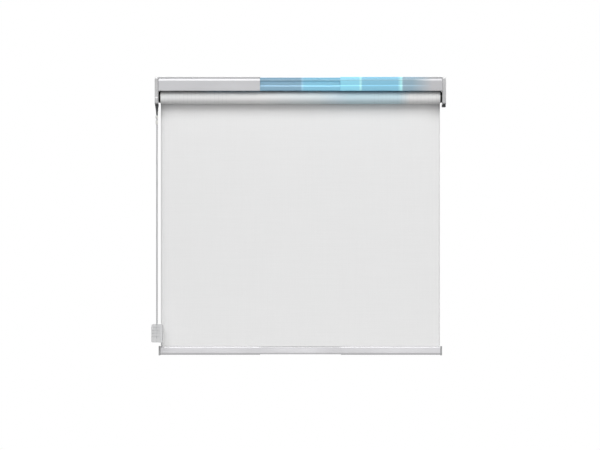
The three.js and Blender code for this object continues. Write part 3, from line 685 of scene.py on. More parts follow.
# Painted blue glow: clear blue up to the first glint, sky blue up to the second, then dull blue; the glints
# are painted highlights.
RIGHT_PAINTED_GLOW = (
    (RIGHT_SECTION_START, CLEAR_BLUE),
    (FIRST_GLINT - GLINT_REACH, CLEAR_BLUE),
    (FIRST_GLINT, GLINT),
    (FIRST_GLINT + GLINT_REACH, SKY_BLUE),
    (SECOND_GLINT - 2 * GLINT_REACH, SKY_BLUE),
    (SECOND_GLINT, GLINT),
    (SECOND_GLINT + GLINT_REACH, DULL_BLUE),
    (RIGHT_SECTION_END, DULL_BLUE),
)
# One set of lengthwise lines of painted highlight and painted shade for both sections, from the bottom edge
# up.
PAINTED_HIGHLIGHT_LINE = SECTION_LOW + SECTION_HEIGHT * 3 / 8
LINE_REACH = 3 * MM
BLUE_HIGHLIGHT_AND_SHADE_LINES = (
    (SECTION_LOW, 0.8),
    (PAINTED_HIGHLIGHT_LINE - LINE_REACH, 0.9),
    (PAINTED_HIGHLIGHT_LINE, 1.3),
    (PAINTED_HIGHLIGHT_LINE + LINE_REACH, 0.8),
    (SLOPE_FOOT - LINE_REACH, 0.9),
    (SLOPE_FOOT, 0.6),
    (SECTION_TOP - LIP_HEIGHT, 0.9),
    (SECTION_TOP, 1.3),
)
# Painted light: the faint blue glow of the headrail thrown onto the roll below it.
ROLL_PAINTED_GLOW = (
    (-125 * MM, (1.0, 1.0, 1.0)),
    (56 * MM, (0.88, 0.97, 1.0)),
    (110 * MM, (0.78, 0.92, 1.0)),
    (155 * MM, (0.72, 0.92, 1.0)),
    (303 * MM, (0.72, 0.92, 1.0)),
    (340 * MM, (1.0, 1.0, 1.0)),
)

SILVER = (0.53, 0.53, 0.545)
# Painted shade: a darker band on the lower part of the lip, in the concave corner above the sloped band.
LIP_PAINTED_SHADE = (
    (SECTION_TOP - LIP_HEIGHT - 0.7 * MM, 1.0),
    (SECTION_TOP - LIP_HEIGHT, 0.48),
    (SECTION_TOP - 2.7 * MM, 0.48),
    (SECTION_TOP - 1.9 * MM, 1.0),
)
# Painted highlight on the left bracket's ridge, over a band of painted shade at the seam below it.
SEAM_LOW, RIDGE_LOW, RIDGE_TOP = -47 * MM, -45 * MM, -40.5 * MM
BLEND = 0.2 * MM
RIDGE_HIGHLIGHT_AND_SEAM_SHADE = (
    (SEAM_LOW - BLEND, 1.0),
    (SEAM_LOW + BLEND, 0.86),
    (RIDGE_LOW - BLEND, 0.86),
    (RIDGE_LOW + BLEND, 1.30),
    (RIDGE_TOP - BLEND, 1.30),
    (RIDGE_TOP + BLEND, 1.0),
)
# Painted shade on the bottom rail's drawn-in lower edges and sloped top edges, which makes them darker than
# its face.
RAIL_LOW, RAIL_TOP = node_range("bottom_rail_left", Z)
RAIL_PAINTED_SHADE = (
    (RAIL_LOW, 0.64),
    (RAIL_LOW + 5 * MM, 0.70),
    (RAIL_LOW + 7 * MM, 1.0),
    (RAIL_TOP - 3.8 * MM, 1.0),
    (RAIL_TOP - 3.2 * MM, 0.56),
)
# The satin silver carries the painted shade band at the foot of the lip.
COAT = PowderCoat("satin_silver_coat_and_lip_shade", "satin_silver", SILVER, bands=LIP_PAINTED_SHADE)
BRACKET_SILVER = (0.47, 0.47, 0.475)
BRACKET_COAT = PowderCoat("bracket_coat", "bracket_silver", BRACKET_SILVER)
# The left bracket's coat carries the painted ridge highlight and the painted seam shade.
RIDGE_PAINTED_LIGHT_COAT = PowderCoat("bracket_coat_and_ridge_light", "bracket_silver", BRACKET_SILVER, bands=RIDGE_HIGHLIGHT_AND_SEAM_SHADE)
RAIL_SILVER = (0.80, 0.795, 0.815)
# The bottom rail's coat carries painted shade on its lower edges and top slopes.
RAIL_SHADED_COAT = PowderCoat("bottom_rail_coat_and_edge_shade", "satin_rail", RAIL_SILVER, bands=RAIL_PAINTED_SHADE)
# Both sliding sections wear the painted blue glow, with painted glints and lines of painted highlight and
# shade.
BLUE_INNER = SlidingBlue("sliding_blue_painted_glow", "blue_section", SILVER, INNER_PAINTED_GLOW)
# A darker copy of the headrail silver for the right section, as painted shade on that end.
BLUE_END_SHADED_SILVER = (0.47, 0.47, 0.485)
BLUE_RIGHT = SlidingBlue("painted_blue_glow_to_silver", "satin_silver_blue_end", BLUE_END_SHADED_SILVER, RIGHT_PAINTED_GLOW)
ZINC = BrightMetal("bright_zinc", "zinc_steel", (0.72, 0.73, 0.74))
SPRING = BrightMetal("spring_wire_steel", "spring_steel", (0.56, 0.57, 0.58), 0.34)
TUBE = BrightMetal("galvanised_tube", "tube_steel", (0.62, 0.63, 0.65), 0.4, (60.0, 300.0, 300.0))
ACETAL = MouldedPlastic("black_acetal_moulding", "black_acetal", (0.012, 0.012, 0.013), 0.42)
DARK = MouldedPlastic("dark_grey_moulding", "dark_grey_plastic", (0.075, 0.078, 0.08), 0.45)
CAP = MouldedPlastic("grey_end_cap", "cap_grey", (0.40, 0.40, 0.405), 0.5)
NYLON = MouldedPlastic("natural_nylon", "nylon", (0.74, 0.74, 0.71), 0.4)
SHELL = MouldedPlastic("tensioner_moulding", "tensioner_grey", (0.66, 0.665, 0.67), 0.55)
BEADS = MouldedPlastic("bead_plastic", "bead_chain", (0.42, 0.43, 0.44), 0.3, 1.2 * MM, 0.008 * MM)
SHEET_CLOTH = WovenCloth("blind_cloth", "blind_fabric", (0.84, 0.84, 0.84))
# The wound cloth carries the painted blue glow thrown by the headrail.
ROLL_CLOTH = WovenCloth(
    "wound_blind_cloth_and_painted_glow", "blind_fabric", (0.84, 0.84, 0.84),
    around_axis=True, tear_zone=210 * MM, tear_shade=0.12, painted_glow_along=ROLL_PAINTED_GLOW,
)
Finish = PowderCoat | SlidingBlue | MouldedPlastic | BrightMetal | WovenCloth
_MATERIALS: dict[str, bpy.types.Material] = {}


def material_of(finish: Finish) -> bpy.types.Material:
    """A finish's material, made once."""
    if finish.name not in _MATERIALS:
        _MATERIALS[finish.name] = finish.material()
    return _MATERIALS[finish.name]


def dress(piece: bpy.types.Object, finish: Finish, body: Body, *stands_for: str) -> bpy.types.Object:
    """Gives a new piece its finish, its body and the CAD nodes that it stands for.

    Args:
        piece: the new object.
        finish: its surface finish.
        body: the body that it rides on.
        stands_for: names of the CAD nodes that it replaces.

    Returns:
        The same object.
    """
    piece.data.materials.clear()
    piece.data.materials.append(material_of(finish))
    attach(piece, body.value)
    if stands_for:
        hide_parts(*stands_for)
    LOG.info("%s: %s on %s", piece.name, finish.name, body.value)
    return piece


# ---------------------------------------------------------------- headrail


@dataclass
class Headrail:
    """Two outer channel sections over one sliding inner section, all open underneath."""

    wall: float = 1.6 * MM
    slide_gap: float = 0.35 * MM
    bevel_depth: float = 6 * MM
    bevel_height: float = SLOPE_HEIGHT
    lip_height: float = LIP_HEIGHT
    corner: float = 0.5 * MM
    front: float = field(init=False)
    back: float = field(init=False)
    top: float = field(init=False)
    bottom: float = field(init=False)

    def __post_init__(self) -> None:
        """Takes the outer section's place from the frame."""
        self.front, self.back = node_range("headrail_left", Y)
        self.bottom, self.top = node_range("headrail_left", Z)

    @property
    def bevel_top(self) -> float:
        """Height where the sloped band meets the set-back lip."""
        return self.top - self.lip_height

    @property
    def bevel_low(self) -> float:
        """Height where the sloped band meets the face."""
        return self.bevel_top - self.bevel_height

    def outer_outline(self) -> Array:
        """The outer section: face, sloped band, lip, top and back, then the same inside at one wall."""
        f, b, w = self.front, self.back, self.wall
        lip = f + self.bevel_depth
        bead = 2.2 * MM
        corners = [
            (f, self.bottom), (f, self.bevel_low), (lip, self.bevel_top), (lip, self.top),
            (b, self.top), (b, self.bottom), (b - w, self.bottom), (b - w, self.top - w),
            (lip + w, self.top - w), (lip + w, self.bevel_top - w / 2), (f + w, self.bevel_low - w / 2),
            (f + w, self.bottom + bead), (f + w + 1 * MM, self.bottom + bead), (f + w + 1 * MM, self.bottom),
        ]
        small = 0.35 * MM
        radii = [small, 1.4 * MM, 0.8 * MM, self.corner, self.corner, small] + [small] * 8
        return rounded_outline(corners, radii)

    def inner_outline(self) -> Array:
        """The inner section: ledge, flat band and sunk band on its face, then a plain inside."""
        inset = self.wall + self.slide_gap
        f, b, w = self.front + inset, self.back - inset, self.wall
        top, bottom = self.top - inset, self.bottom + 0.3 * MM
        plane = f + 3.6 * MM + w
        lip = f + self.bevel_depth
        corners = [
            (f, bottom), (f, -9.2 * MM), (f + 2.2 * MM, -5.6 * MM), (f + 2.2 * MM, 2.6 * MM),
            (f + 3.6 * MM, 4 * MM), (f + 0.8 * MM, self.bevel_low - 0.3 * MM),
            (lip, self.bevel_top - w), (lip, top), (b, top), (b, bottom),
            (b - w, bottom), (b - w, top - w), (lip + 1.8 * MM, top - w),
            (lip + 1.8 * MM, self.bevel_top - 2.1 * MM), (plane, self.bevel_low + 1.1 * MM),
            (plane, bottom + 6 * MM), (f + w, bottom + 4 * MM), (f + w, bottom),
        ]
        return rounded_outline(corners, 0.45 * MM)

    def build(self) -> None:
        """Makes the three sections and the two nylon glides."""
        outer, inner = self.outer_outline(), self.inner_outline()
        for node, outline, finish, body in (
            ("headrail_left", outer, COAT, Body.WALL),
            ("headrail_inner", inner, BLUE_INNER, Body.WALL),
            ("headrail_right", outer, BLUE_RIGHT, Body.RIGHT_END),
        ):
            stations = np.linspace(*node_range(node, X), 25)
            piece = bevelled(prism(f"{node}_section", outline, stations), 0.25 * MM)
            dress(piece, finish, body, node)
        for side in ("left", "right"):
            node = f"headrail_glide_{side}"
            piece = refined_node(node, f"{node}_moulding", 0.4 * MM)
            dress(piece, NYLON, Body.WALL, node)
        clip = refined_node("wall_clip", "wall_clip_pressing", 0.35 * MM)
        dress(clip, ZINC, Body.WALL, "wall_clip")


# ---------------------------------------------------------------- screws and brackets


@dataclass
class SocketScrew:
    """A pan-head screw with a hexagon socket, along X."""

    node: str
    name: str
    body: Body
    head_faces: int
    head_radius: float = 2.8 * MM
    head_height: float = 1.7 * MM
    shank_radius: float = 1.4 * MM
    socket_radius: float = 1.45 * MM
    socket_depth: float = 0.9 * MM

    def build(self) -> bpy.types.Object:
        """A turned dome, socket and threaded shank, from the socket's floor to the shank's tip."""
        low, high = node_range(self.node, X)
        centre = node_centre(self.node)
        centre[X] = low if self.head_faces < 0 else high
        length = high - low
        dome = np.linspace(0, np.pi / 2, 6)
        head = np.stack([
            0.6 * MM * (1 - np.cos(dome)),
            self.socket_radius * 1.25 + (self.head_radius - self.socket_radius * 1.25) * np.sin(dome),
        ], axis=1)
        thread_from = self.head_height + 0.6 * MM
        thread = np.linspace(thread_from, length - 0.8 * MM, 2 * int((length - thread_from) / (0.35 * MM)))
        crest = self.shank_radius - 0.22 * MM * (np.arange(len(thread)) % 2)
        rows = [
            (self.socket_depth, 0.0), (self.socket_depth, self.socket_radius), (0.0, self.socket_radius),
            *head, (self.head_height, self.head_radius), (self.head_height, self.shank_radius),
            *np.stack([thread, crest], axis=1), (length, 0.5 * self.shank_radius), (length, 0.0),
        ]
        profile = np.array(rows)
        profile[:, 0] *= -self.head_faces
        piece = turned(self.name, profile, centre, segments=48, socket=self.socket_radius)
        return dress(piece, ZINC, self.body, self.node)


@dataclass
class EndBracket:
    """One end bracket: outer shell, inner plate with its spigot, and two screws."""

    side: str
    body: Body
    edge: float = 0.7 * MM

    def build(self) -> None:
        """Makes the shell, the plate and the screws."""
        shell = refined_node(f"bracket_{self.side}", f"bracket_{self.side}_shell", self.edge)
        dress(shell, RIDGE_PAINTED_LIGHT_COAT if self.side == "left" else BRACKET_COAT, self.body, f"bracket_{self.side}")
        plate = refined_node(f"bracket_plate_{self.side}", f"bracket_{self.side}_inner_plate", 0.3 * MM)
        dress(plate, BRACKET_COAT, self.body, f"bracket_plate_{self.side}")
        faces = -1 if self.side == "left" else 1
        for level in ("upper", "lower"):
            node = f"bracket_screw_{self.side}_{level}"
            SocketScrew(node, f"{node}_part", self.body, faces).build()


# ---------------------------------------------------------------- chain drive and roller


@dataclass
class ChainWheel:
    """A grooved wheel with a pocket for each bead, in the clutch or in the tensioner."""

    node: str
    name: str
    body: Body
    finish: Finish
    bore: float
    hub_radius: float = 0.0
    pockets: int = 13
    pitch_radius: float = 13 * 6 * MM / (2 * math.pi)
    bead_radius: float = 2.25 * MM
    rim_over: float = 1.1 * MM
    width: float = 6.4 * MM

    def surface(self, centre_x: float) -> bpy.types.Object:
        """The rim as rows (distance along X, radius): side, groove, side and bore.

        In the groove the radius is pitch radius - g cos(across), and g falls by 0.5 mm between
        pockets, as the cosine of the number of pockets times the angle.
        """
        segments = self.pockets * 16
        rim = self.pitch_radius + self.rim_over
        across = np.linspace(-np.pi / 2, np.pi / 2, 13)
        groove = self.bead_radius + 0.3 * MM
        side = self.width / 2
        shoulder = rim - 0.2 * MM
        along = np.concatenate([[-side, -side, -groove], groove * np.sin(across), [groove, side, side]])
        base = np.concatenate([[self.bore, shoulder, rim], 0 * across, [rim, shoulder, self.bore]])
        angle = np.linspace(0, 2 * np.pi, segments, endpoint=False)
        tooth = 0.5 * MM * (1 - np.cos(self.pockets * angle)) / 2
        reach = np.repeat(base[:, None], segments, axis=1)
        depth = groove * np.cos(across)[:, None]
        reach[3:-3] = self.pitch_radius - np.maximum(depth - tooth[None], 0)
        centre = node_centre(self.node)
        points = np.empty((len(along), segments, 3))
        points[..., X] = centre_x + along[:, None]
        points[..., Y] = centre[Y] + reach * np.cos(angle)
        points[..., Z] = centre[Z] + reach * np.sin(angle)
        quads = grid_quads(len(along), segments, closed_rows=True, closed_columns=True)
        return mesh_object(self.name, points.reshape(-1, 3), list(quads))

    def build(self) -> bpy.types.Object:
        """Makes the wheel, with its hub sleeve where it has one."""
        low, high = node_range(self.node, X)
        wheel = self.surface(low + self.width / 2)
        if self.hub_radius > 0:
            centre = axis_point(self.node)
            start = low + self.width
            hub = turned(f"{self.name}_hub", ring_profile(start, high, self.hub_radius, self.bore), centre)
            dress(hub, self.finish, self.body)
        return dress(wheel, self.finish, self.body, self.node)


@dataclass
class ChainDrive:
    """The clutch in the left bracket: spindle, screw, wrap springs, wheel and tube plug."""

    spindle_radius: float = 6.2 * MM
    hub_radius: float = 8.4 * MM
    wire: float = 1 * MM
    plug_body_radius: float = 17.5 * MM

    def plug(self) -> None:
        """The black tube plug: a flange against the tube's end, then a body inside the tube."""
        low, high = node_range("drive_plug", X)
        flange_to = node_range("tube_outer", X)[0] - 0.3 * MM
        flange = half_size("drive_plug", Z)
        bore = self.hub_radius + 0.3 * MM
        rows = [
            (low, bore), (low, flange - 0.6 * MM), (low + 0.6 * MM, flange), (flange_to - 0.3 * MM, flange),
            (flange_to, flange - 0.3 * MM), (flange_to, self.plug_body_radius - 0.8 * MM),
            (flange_to + 3 * MM, self.plug_body_radius), (high - 4 * MM, self.plug_body_radius),
            (high, self.plug_body_radius - 2 * MM), (high, bore - 0.5 * MM),
        ]
        centre = axis_point("tube_outer")
        piece = turned("drive_plug_moulding", np.array(rows), centre, segments=96)
        dress(piece, ACETAL, Body.ROLLER, "drive_plug")

    def build(self) -> None:
        """Makes every piece of the clutch."""
        centre = axis_point("clutch_spindle")
        low, high = node_range("clutch_spindle", X)
        rows = [
            (low + 14 * MM, 0), (low + 14 * MM, 1.9 * MM), (low, 1.9 * MM), (low, self.spindle_radius),
            (high - 1 * MM, self.spindle_radius), (high, self.spindle_radius - 1 * MM), (high, 0),
        ]
        spindle = turned("clutch_spindle_moulding", np.array(rows), centre)
        dress(spindle, ACETAL, Body.WALL, "clutch_spindle")
        screw = SocketScrew(
            "spindle_screw", "spindle_screw_part", Body.WALL, -1,
            head_radius=3.4 * MM, head_height=1.4 * MM, shank_radius=1.6 * MM,
        )
        screw.build()
        for side in ("outer", "inner"):
            node = f"wrap_spring_{side}"
            start, stop = node_range(node, X)
            reach = half_size(node, Y) - self.wire / 2
            span = (start + self.wire / 2, stop - self.wire / 2)
            coil = helix_wire(f"{node}_coil", centre, span, reach, self.wire, 8)
            dress(coil, SPRING, Body.WALL, node)
        wheel = ChainWheel(
            "chain_wheel", "chain_wheel_moulding", Body.ROLLER, ACETAL,
            bore=6.5 * MM, hub_radius=self.hub_radius,
        )
        wheel.build()
        self.plug()


@dataclass
class Roller:
    """The telescopic tube, the wound cloth on it, and the sprung pin at its right end."""

    layer: float = 0.45 * MM
    wall: float = 1.2 * MM
    ripple: float = 0.12 * MM
    ripple_pitch: float = 12.4 * MM
    ripple_zones: tuple[tuple[float, float], ...] = ((-420 * MM, -200 * MM), (335 * MM, 430 * MM))

    def centre(self) -> Array:
        """A point on the roller's axis, at X zero."""
        return axis_point("fabric_roll")

    def tube(self, node: str, body: Body) -> None:
        """A rolled steel tube with a folded seam groove along it.

        The radius is the tube's radius less a narrow groove, depth x exp(-(angle / width) squared).
        """
        low, high = node_range(node, X)
        outer = half_size(node, Z)
        segments = 96
        angle = np.linspace(-np.pi, np.pi, segments, endpoint=False)
        seam = 0.35 * MM * np.exp(-((angle / 0.07) ** 2))
        rows = ring_profile(low, high, outer, outer - self.wall, 0.2 * MM)
        reach = rows[:, 1][:, None] - seam[None]
        centre = self.centre()
        points = np.empty((len(rows), segments, 3))
        points[..., X] = rows[:, 0][:, None]
        points[..., Y] = centre[Y] + reach * np.cos(angle)
        points[..., Z] = centre[Z] + reach * np.sin(angle)
        quads = grid_quads(len(rows), segments, closed_rows=True, closed_columns=True)
        dress(mesh_object(f"{node}_rolled", points.reshape(-1, 3), list(quads)), TUBE, body, node)

    def wound_cloth(self) -> None:
        """The wound cloth: a ring whose end faces show its layers and whose skin ripples near the ends.

        The skin's radius is roll radius - ripple x (1 + cos(2 pi x / pitch)) / 2 inside the ripple
        zones, with soft ends. Each layer's edge is a half circle one layer wide.
        """
        low, high = node_range("fabric_roll", X)
        outer = half_size("fabric_roll", Z)
        inner = half_size("tube_outer", Z) + 0.05 * MM
        x = np.linspace(low + self.layer / 2, high - self.layer / 2, 561)
        zone = sum(
            1 / (1 + np.exp(-(x - a) / (9 * MM))) * 1 / (1 + np.exp((x - b) / (9 * MM)))
            for a, b in self.ripple_zones
        )
        skin = outer - self.ripple * zone * (1 + np.cos(2 * np.pi * x / self.ripple_pitch)) / 2
        layers = int((outer - inner) / self.layer)
        step = (outer - inner) / layers
        turn = np.linspace(0, np.pi, 7)[:-1]
        radius = (inner + step * (np.arange(layers)[:, None] + (1 - np.cos(turn)[None]) / 2)).ravel()
        proud = np.tile(self.layer / 2 * np.sin(turn), layers)
        left = np.stack([low + self.layer / 2 - proud, radius], axis=1)
        right = np.stack([high - self.layer / 2 + proud, radius], axis=1)[::-1]
        profile = np.concatenate([left, np.stack([x, skin], axis=1), right])
        piece = turned("wound_cloth", profile, self.centre(), segments=96)
        dress(piece, ROLL_CLOTH, Body.ROLLER, "fabric_roll")

    def idle_end(self) -> None:
        """The black idle plug, its spring seat, the sprung pin, its coil spring and the nylon bush."""
        centre = self.centre()
        low, high = node_range("idle_plug", X)
        flange = half_size("idle_plug", Z)
        face = node_range("tube_outer", X)[1] + 0.3 * MM
        body = 15.9 * MM
        chamber, pin_bore = 6.6 * MM, 3.3 * MM
        wall_at = face - 6.3 * MM
        rows = [
            (low, chamber), (low, body - 1.5 * MM), (low + 2 * MM, body), (face, body),
            (face, flange - 0.3 * MM), (face + 0.3 * MM, flange), (high - 0.6 * MM, flange),
            (high, flange - 0.6 * MM), (high, pin_bore), (wall_at, pin_bore), (wall_at, chamber),
        ]
        plug = turned("idle_plug_moulding", np.array(rows), centre, segments=96)
        dress(plug, ACETAL, Body.INNER_ROLLER, "idle_plug")
        start, stop = node_range("pin_spring_seat", X)
        seat = turned("pin_spring_seat_ring", ring_profile(start, stop, 6.3 * MM, pin_bore), centre)
        dress(seat, ACETAL, Body.INNER_ROLLER, "pin_spring_seat")
        tail, tip = node_range("idle_pin", X)
        collar = wall_at - 0.3 * MM - 2.5 * MM
        rows = [
            (tail, 0), (tail, 2.6 * MM), (tail + 0.4 * MM, 3 * MM), (collar, 3 * MM), (collar, 6.1 * MM),
            (collar + 2.5 * MM, 6.1 * MM), (collar + 2.5 * MM, 3 * MM), (tip - 1.5 * MM, 3 * MM),
            (tip - 0.4 * MM, 2.2 * MM), (tip, 1.2 * MM), (tip, 0),
        ]
        pin = turned("idle_pin_turned", np.array(rows), centre, segments=48)
        dress(pin, ZINC, Body.IDLE_PIN, "idle_pin")
        start, stop = node_range("pin_spring", X)
        wire = 0.8 * MM
        coil = helix_wire("pin_spring_coil", centre, (start + wire / 2, stop - wire / 2), 4.3 * MM, wire, 7)
        dress(coil, SPRING, Body.INNER_ROLLER, "pin_spring")
        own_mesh(coil)
        start, stop = node_range("idle_bush", X)
        rows = [
            (start, pin_bore), (start, 6.8 * MM), (start + 0.2 * MM, 7 * MM), (start + 1.6 * MM, 7 * MM),
            (start + 1.6 * MM, 9 * MM), (stop - 0.5 * MM, 9 * MM), (stop, 8.5 * MM), (stop, pin_bore),
        ]
        bush = turned("idle_bush_moulding", np.array(rows), centre)
        dress(bush, NYLON, Body.RIGHT_END, "idle_bush")

    def build(self) -> None:
        """Makes every piece that turns with the roller."""
        self.tube("tube_outer", Body.ROLLER)
        self.tube("tube_inner", Body.INNER_ROLLER)
        self.wound_cloth()
        self.idle_end()


# ---------------------------------------------------------------- bead chain


@dataclass
class BeadChain:
    """The endless bead chain, its guide, stop ball and joiner, and the right bracket's blank."""

    pitch: float = 6 * MM
    bead_radius: float = 2.25 * MM
    string_radius: float = 0.55 * MM
    pockets: int = 13

    def __post_init__(self) -> None:
        """Takes the two axes and the chain's plane from the frame."""
        self.wheel = node_centre("chain_wheel")
        self.wheel[X] = node_centre("chain_front_run")[X]
        self.pulley = node_centre("tensioner_pulley")
        self.pitch_radius = self.pockets * self.pitch / (2 * math.pi)
        self.drop = self.wheel[Z] - self.pulley[Z]
        self.beads = self.pockets + 2 * round(self.drop / self.pitch)

    def along(self, distance: Array) -> Array:
        """Points on the loop at distances down the front run, round the pulley, up and over the wheel.

        The loop is two straight runs joined by half circles of the pitch radius.

        Args:
            distance: distances from the front tangent point of the wheel, in metres.

        Returns:
            One point for each distance.
        """
        bend = math.pi * self.pitch_radius
        lap = 2 * (self.drop + bend)
        s = np.mod(distance, lap)
        pieces = [s < self.drop, s < self.drop + bend, s < 2 * self.drop + bend]
        low_turn = (s - self.drop) / self.pitch_radius
        high_turn = (s - 2 * self.drop - bend) / self.pitch_radius
        r = self.pitch_radius
        y = np.select(pieces, [-r + 0 * s, -r * np.cos(low_turn), r + 0 * s], r * np.cos(high_turn))
        z = np.select(
            pieces,
            [self.wheel[Z] - s, self.pulley[Z] - r * np.sin(low_turn), self.pulley[Z] + s - self.drop - bend],
            self.wheel[Z] + r * np.sin(high_turn),
        )
        return np.stack([np.full_like(s, self.wheel[X]), self.wheel[Y] + y, z], axis=1)

    def chain(self) -> None:
        """All beads as small spheres at even distances, and the string as a thin tube through them."""
        bend = math.pi * self.pitch_radius
        lap = 2 * (self.drop + bend)
        rows, around = 7, 10
        a = np.linspace(0, np.pi, rows)[:, None]
        b = np.linspace(0, 2 * np.pi, around, endpoint=False)[None]
        bead = np.stack([np.sin(a) * np.cos(b), np.sin(a) * np.sin(b), np.cos(a) + 0 * b], axis=-1)
        bead = self.bead_radius * bead.reshape(-1, 3)
        places = self.along(np.arange(self.beads) * lap / self.beads)
        points = (places[:, None] + bead[None]).reshape(-1, 3)
        quads = grid_quads(rows, around, closed_columns=True)
        faces = (quads[None] + (np.arange(self.beads) * rows * around)[:, None, None]).reshape(-1, 4)
        string_rows, string_around = 2 * self.beads, 6
        s = np.arange(string_rows) * lap / string_rows
        line = self.along(s)
        ahead = self.along(s + 0.01 * MM) - line
        ahead /= np.linalg.norm(ahead, axis=1)[:, None]
        side = np.cross(ahead, [1.0, 0.0, 0.0])
        c = np.linspace(0, 2 * np.pi, string_around, endpoint=False)
        tube = line[:, None] + self.string_radius * (
            np.cos(c)[None, :, None] * side[:, None] + np.sin(c)[None, :, None] * np.array([1.0, 0.0, 0.0])
        )
        string_quads = grid_quads(string_rows, string_around, closed_rows=True, closed_columns=True)
        string_quads = string_quads + len(points)
        everything = np.concatenate([points, tube.reshape(-1, 3)])
        piece = mesh_object("bead_chain", everything, [*faces, *string_quads], 60)
        nodes = ("chain_front_run", "chain_rear_run", "chain_over_wheel", "chain_under_pulley")
        dress(piece, BEADS, Body.WALL, *nodes)
        leaves_at = self.wheel[Z] - node_range("chain_guide", Z)[0]
        route = self.along(leaves_at + np.linspace(0, lap, 900))

    def guide(self) -> None:
        """The tapered guide: the outline of a funnel in X narrows down its length on a smooth curve.

        Half width = tip + (top - tip) x (1 - depth) ** 1.6, with a rounded front and rear.
        """
        low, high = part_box("chain_guide")
        half_top = (high[X] - low[X]) / 2
        half_tip = 2.0 * MM
        steps = 28
        t = np.linspace(0, 1, steps)
        half = half_tip + (half_top - half_tip) * (1 - t) ** 1.6
        depth = (high[Y] - low[Y]) / 2 - 1 * MM * t
        slot = self.bead_radius + 0.6 * MM
        run = self.pitch_radius + slot
        for name, front in (("front", -1), ("rear", 1)):
            angle = np.linspace(0, np.pi, 15)
            outline_x = np.cos(angle)[None] * half[:, None]
            bulge = run + (depth[:, None] - run) * np.sin(angle)[None] ** 0.5
            inner_x = np.linspace(-1, 1, 15)[None] * np.minimum(half, slot)[:, None]
            inner_y = np.full_like(inner_x, run)
            x = np.concatenate([outline_x, inner_x], axis=1)
            y = np.concatenate([bulge, inner_y], axis=1)
            points = np.empty((*x.shape, 3))
            points[..., X] = self.wheel[X] + x
            points[..., Y] = self.wheel[Y] + front * y
            points[..., Z] = (high[Z] - (high[Z] - low[Z]) * t)[:, None]
            count = x.shape[1]
            sides = grid_quads(steps, count, closed_columns=True)
            ends = [np.arange(count)[::-1], np.arange(count) + (steps - 1) * count]
            prong = mesh_object(f"chain_guide_{name}_prong", points.reshape(-1, 3), [*sides, *ends])
            dress(prong, DARK, Body.WALL, *(("chain_guide",) if front < 0 else ()))
        self.guide_webs(half, slot, run, low[Z], high[Z])

    def guide_webs(self, half: Array, slot: float, run: float, low: float, high: float) -> None:
        """The two side walls that join the guide's prongs, down to where the taper meets the slot."""
        t = np.linspace(0, 1, len(half))
        solid = half > slot + 0.35 * MM
        t, half = t[solid], half[solid]
        for name, side in (("outer", -1), ("inner", 1)):
            x = np.stack([np.full_like(half, slot), half, half, np.full_like(half, slot)], axis=1)
            y = np.broadcast_to(np.array([-run, -run, run, run]), x.shape)
            points = np.empty((*x.shape, 3))
            points[..., X] = self.wheel[X] + side * x
            points[..., Y] = self.wheel[Y] + y
            points[..., Z] = (high - (high - low) * t)[:, None]
            sides = grid_quads(len(t), 4, closed_columns=True)
            ends = [np.arange(4)[::-1], np.arange(4) + (len(t) - 1) * 4]
            web = mesh_object(f"chain_guide_{name}_web", points.reshape(-1, 3), [*sides, *ends])
            dress(bevelled(web, 0.2 * MM), DARK, Body.WALL)

    def fittings(self) -> None:
        """The stop ball and the joiner barrel on the front run."""
        bore = self.bead_radius + 0.3 * MM
        for node, swell, power in (("chain_stop", 4 * MM, 2.0), ("chain_joiner", 3.6 * MM, 8.0)):
            low, high = node_range(node, Z)
            centre = node_centre(node)
            centre[Z] = 0
            t = np.linspace(-1, 1, 25)
            reach = bore + 0.3 * MM + (swell - bore - 0.3 * MM) * (1 - np.abs(t) ** power) ** 0.5
            z = (low + high) / 2 + t * (high - low) / 2
            rows = np.concatenate([[(low, bore)], np.stack([z, reach], axis=1), [(high, bore)]])
            piece = turned(f"{node}_moulding", rows, centre, Axis.UPRIGHT, 48)
            dress(piece, NYLON, Body.CHAIN_FITTINGS, node)

    def build(self) -> None:
        """Makes the chain and what guides it."""
        self.chain()
        self.guide()
        self.fittings()
        blank = refined_node("blank_plug", "blank_plug_moulding", 0.9 * MM)
        dress(blank, DARK, Body.RIGHT_END, "blank_plug")


# ---------------------------------------------------------------- tensioner


@dataclass
class Tensioner:
    """The ribbed chain tensioner: two shells, pulley, axle, screws and a foot on the wall."""

    edge: float = 0.5 * MM

    def build(self) -> None:
        """Makes every piece of the tensioner."""
        for side in ("left", "right"):
            node = f"tensioner_shell_{side}"
            dress(refined_node(node, f"{node}_moulding", self.edge), SHELL, Body.WALL, node)
        foot = refined_node("tensioner_foot", "tensioner_foot_moulding", self.edge)
        dress(foot, SHELL, Body.WALL, "tensioner_foot")
        ChainWheel("tensioner_pulley", "tensioner_pulley_moulding", Body.PULLEY, NYLON, 2.8 * MM).build()
        pin = rod_profile(*node_range("tensioner_axle", X), 2.5 * MM)
        axle = turned("tensioner_axle_pin", pin, axis_point("tensioner_axle"), segments=48)
        dress(axle, ZINC, Body.WALL, "tensioner_axle")
        for level in ("upper", "lower"):
            node = f"tensioner_screw_{level}"
            SocketScrew(node, f"{node}_part", Body.WALL, 1).build()


# ---------------------------------------------------------------- cloth and bottom rail


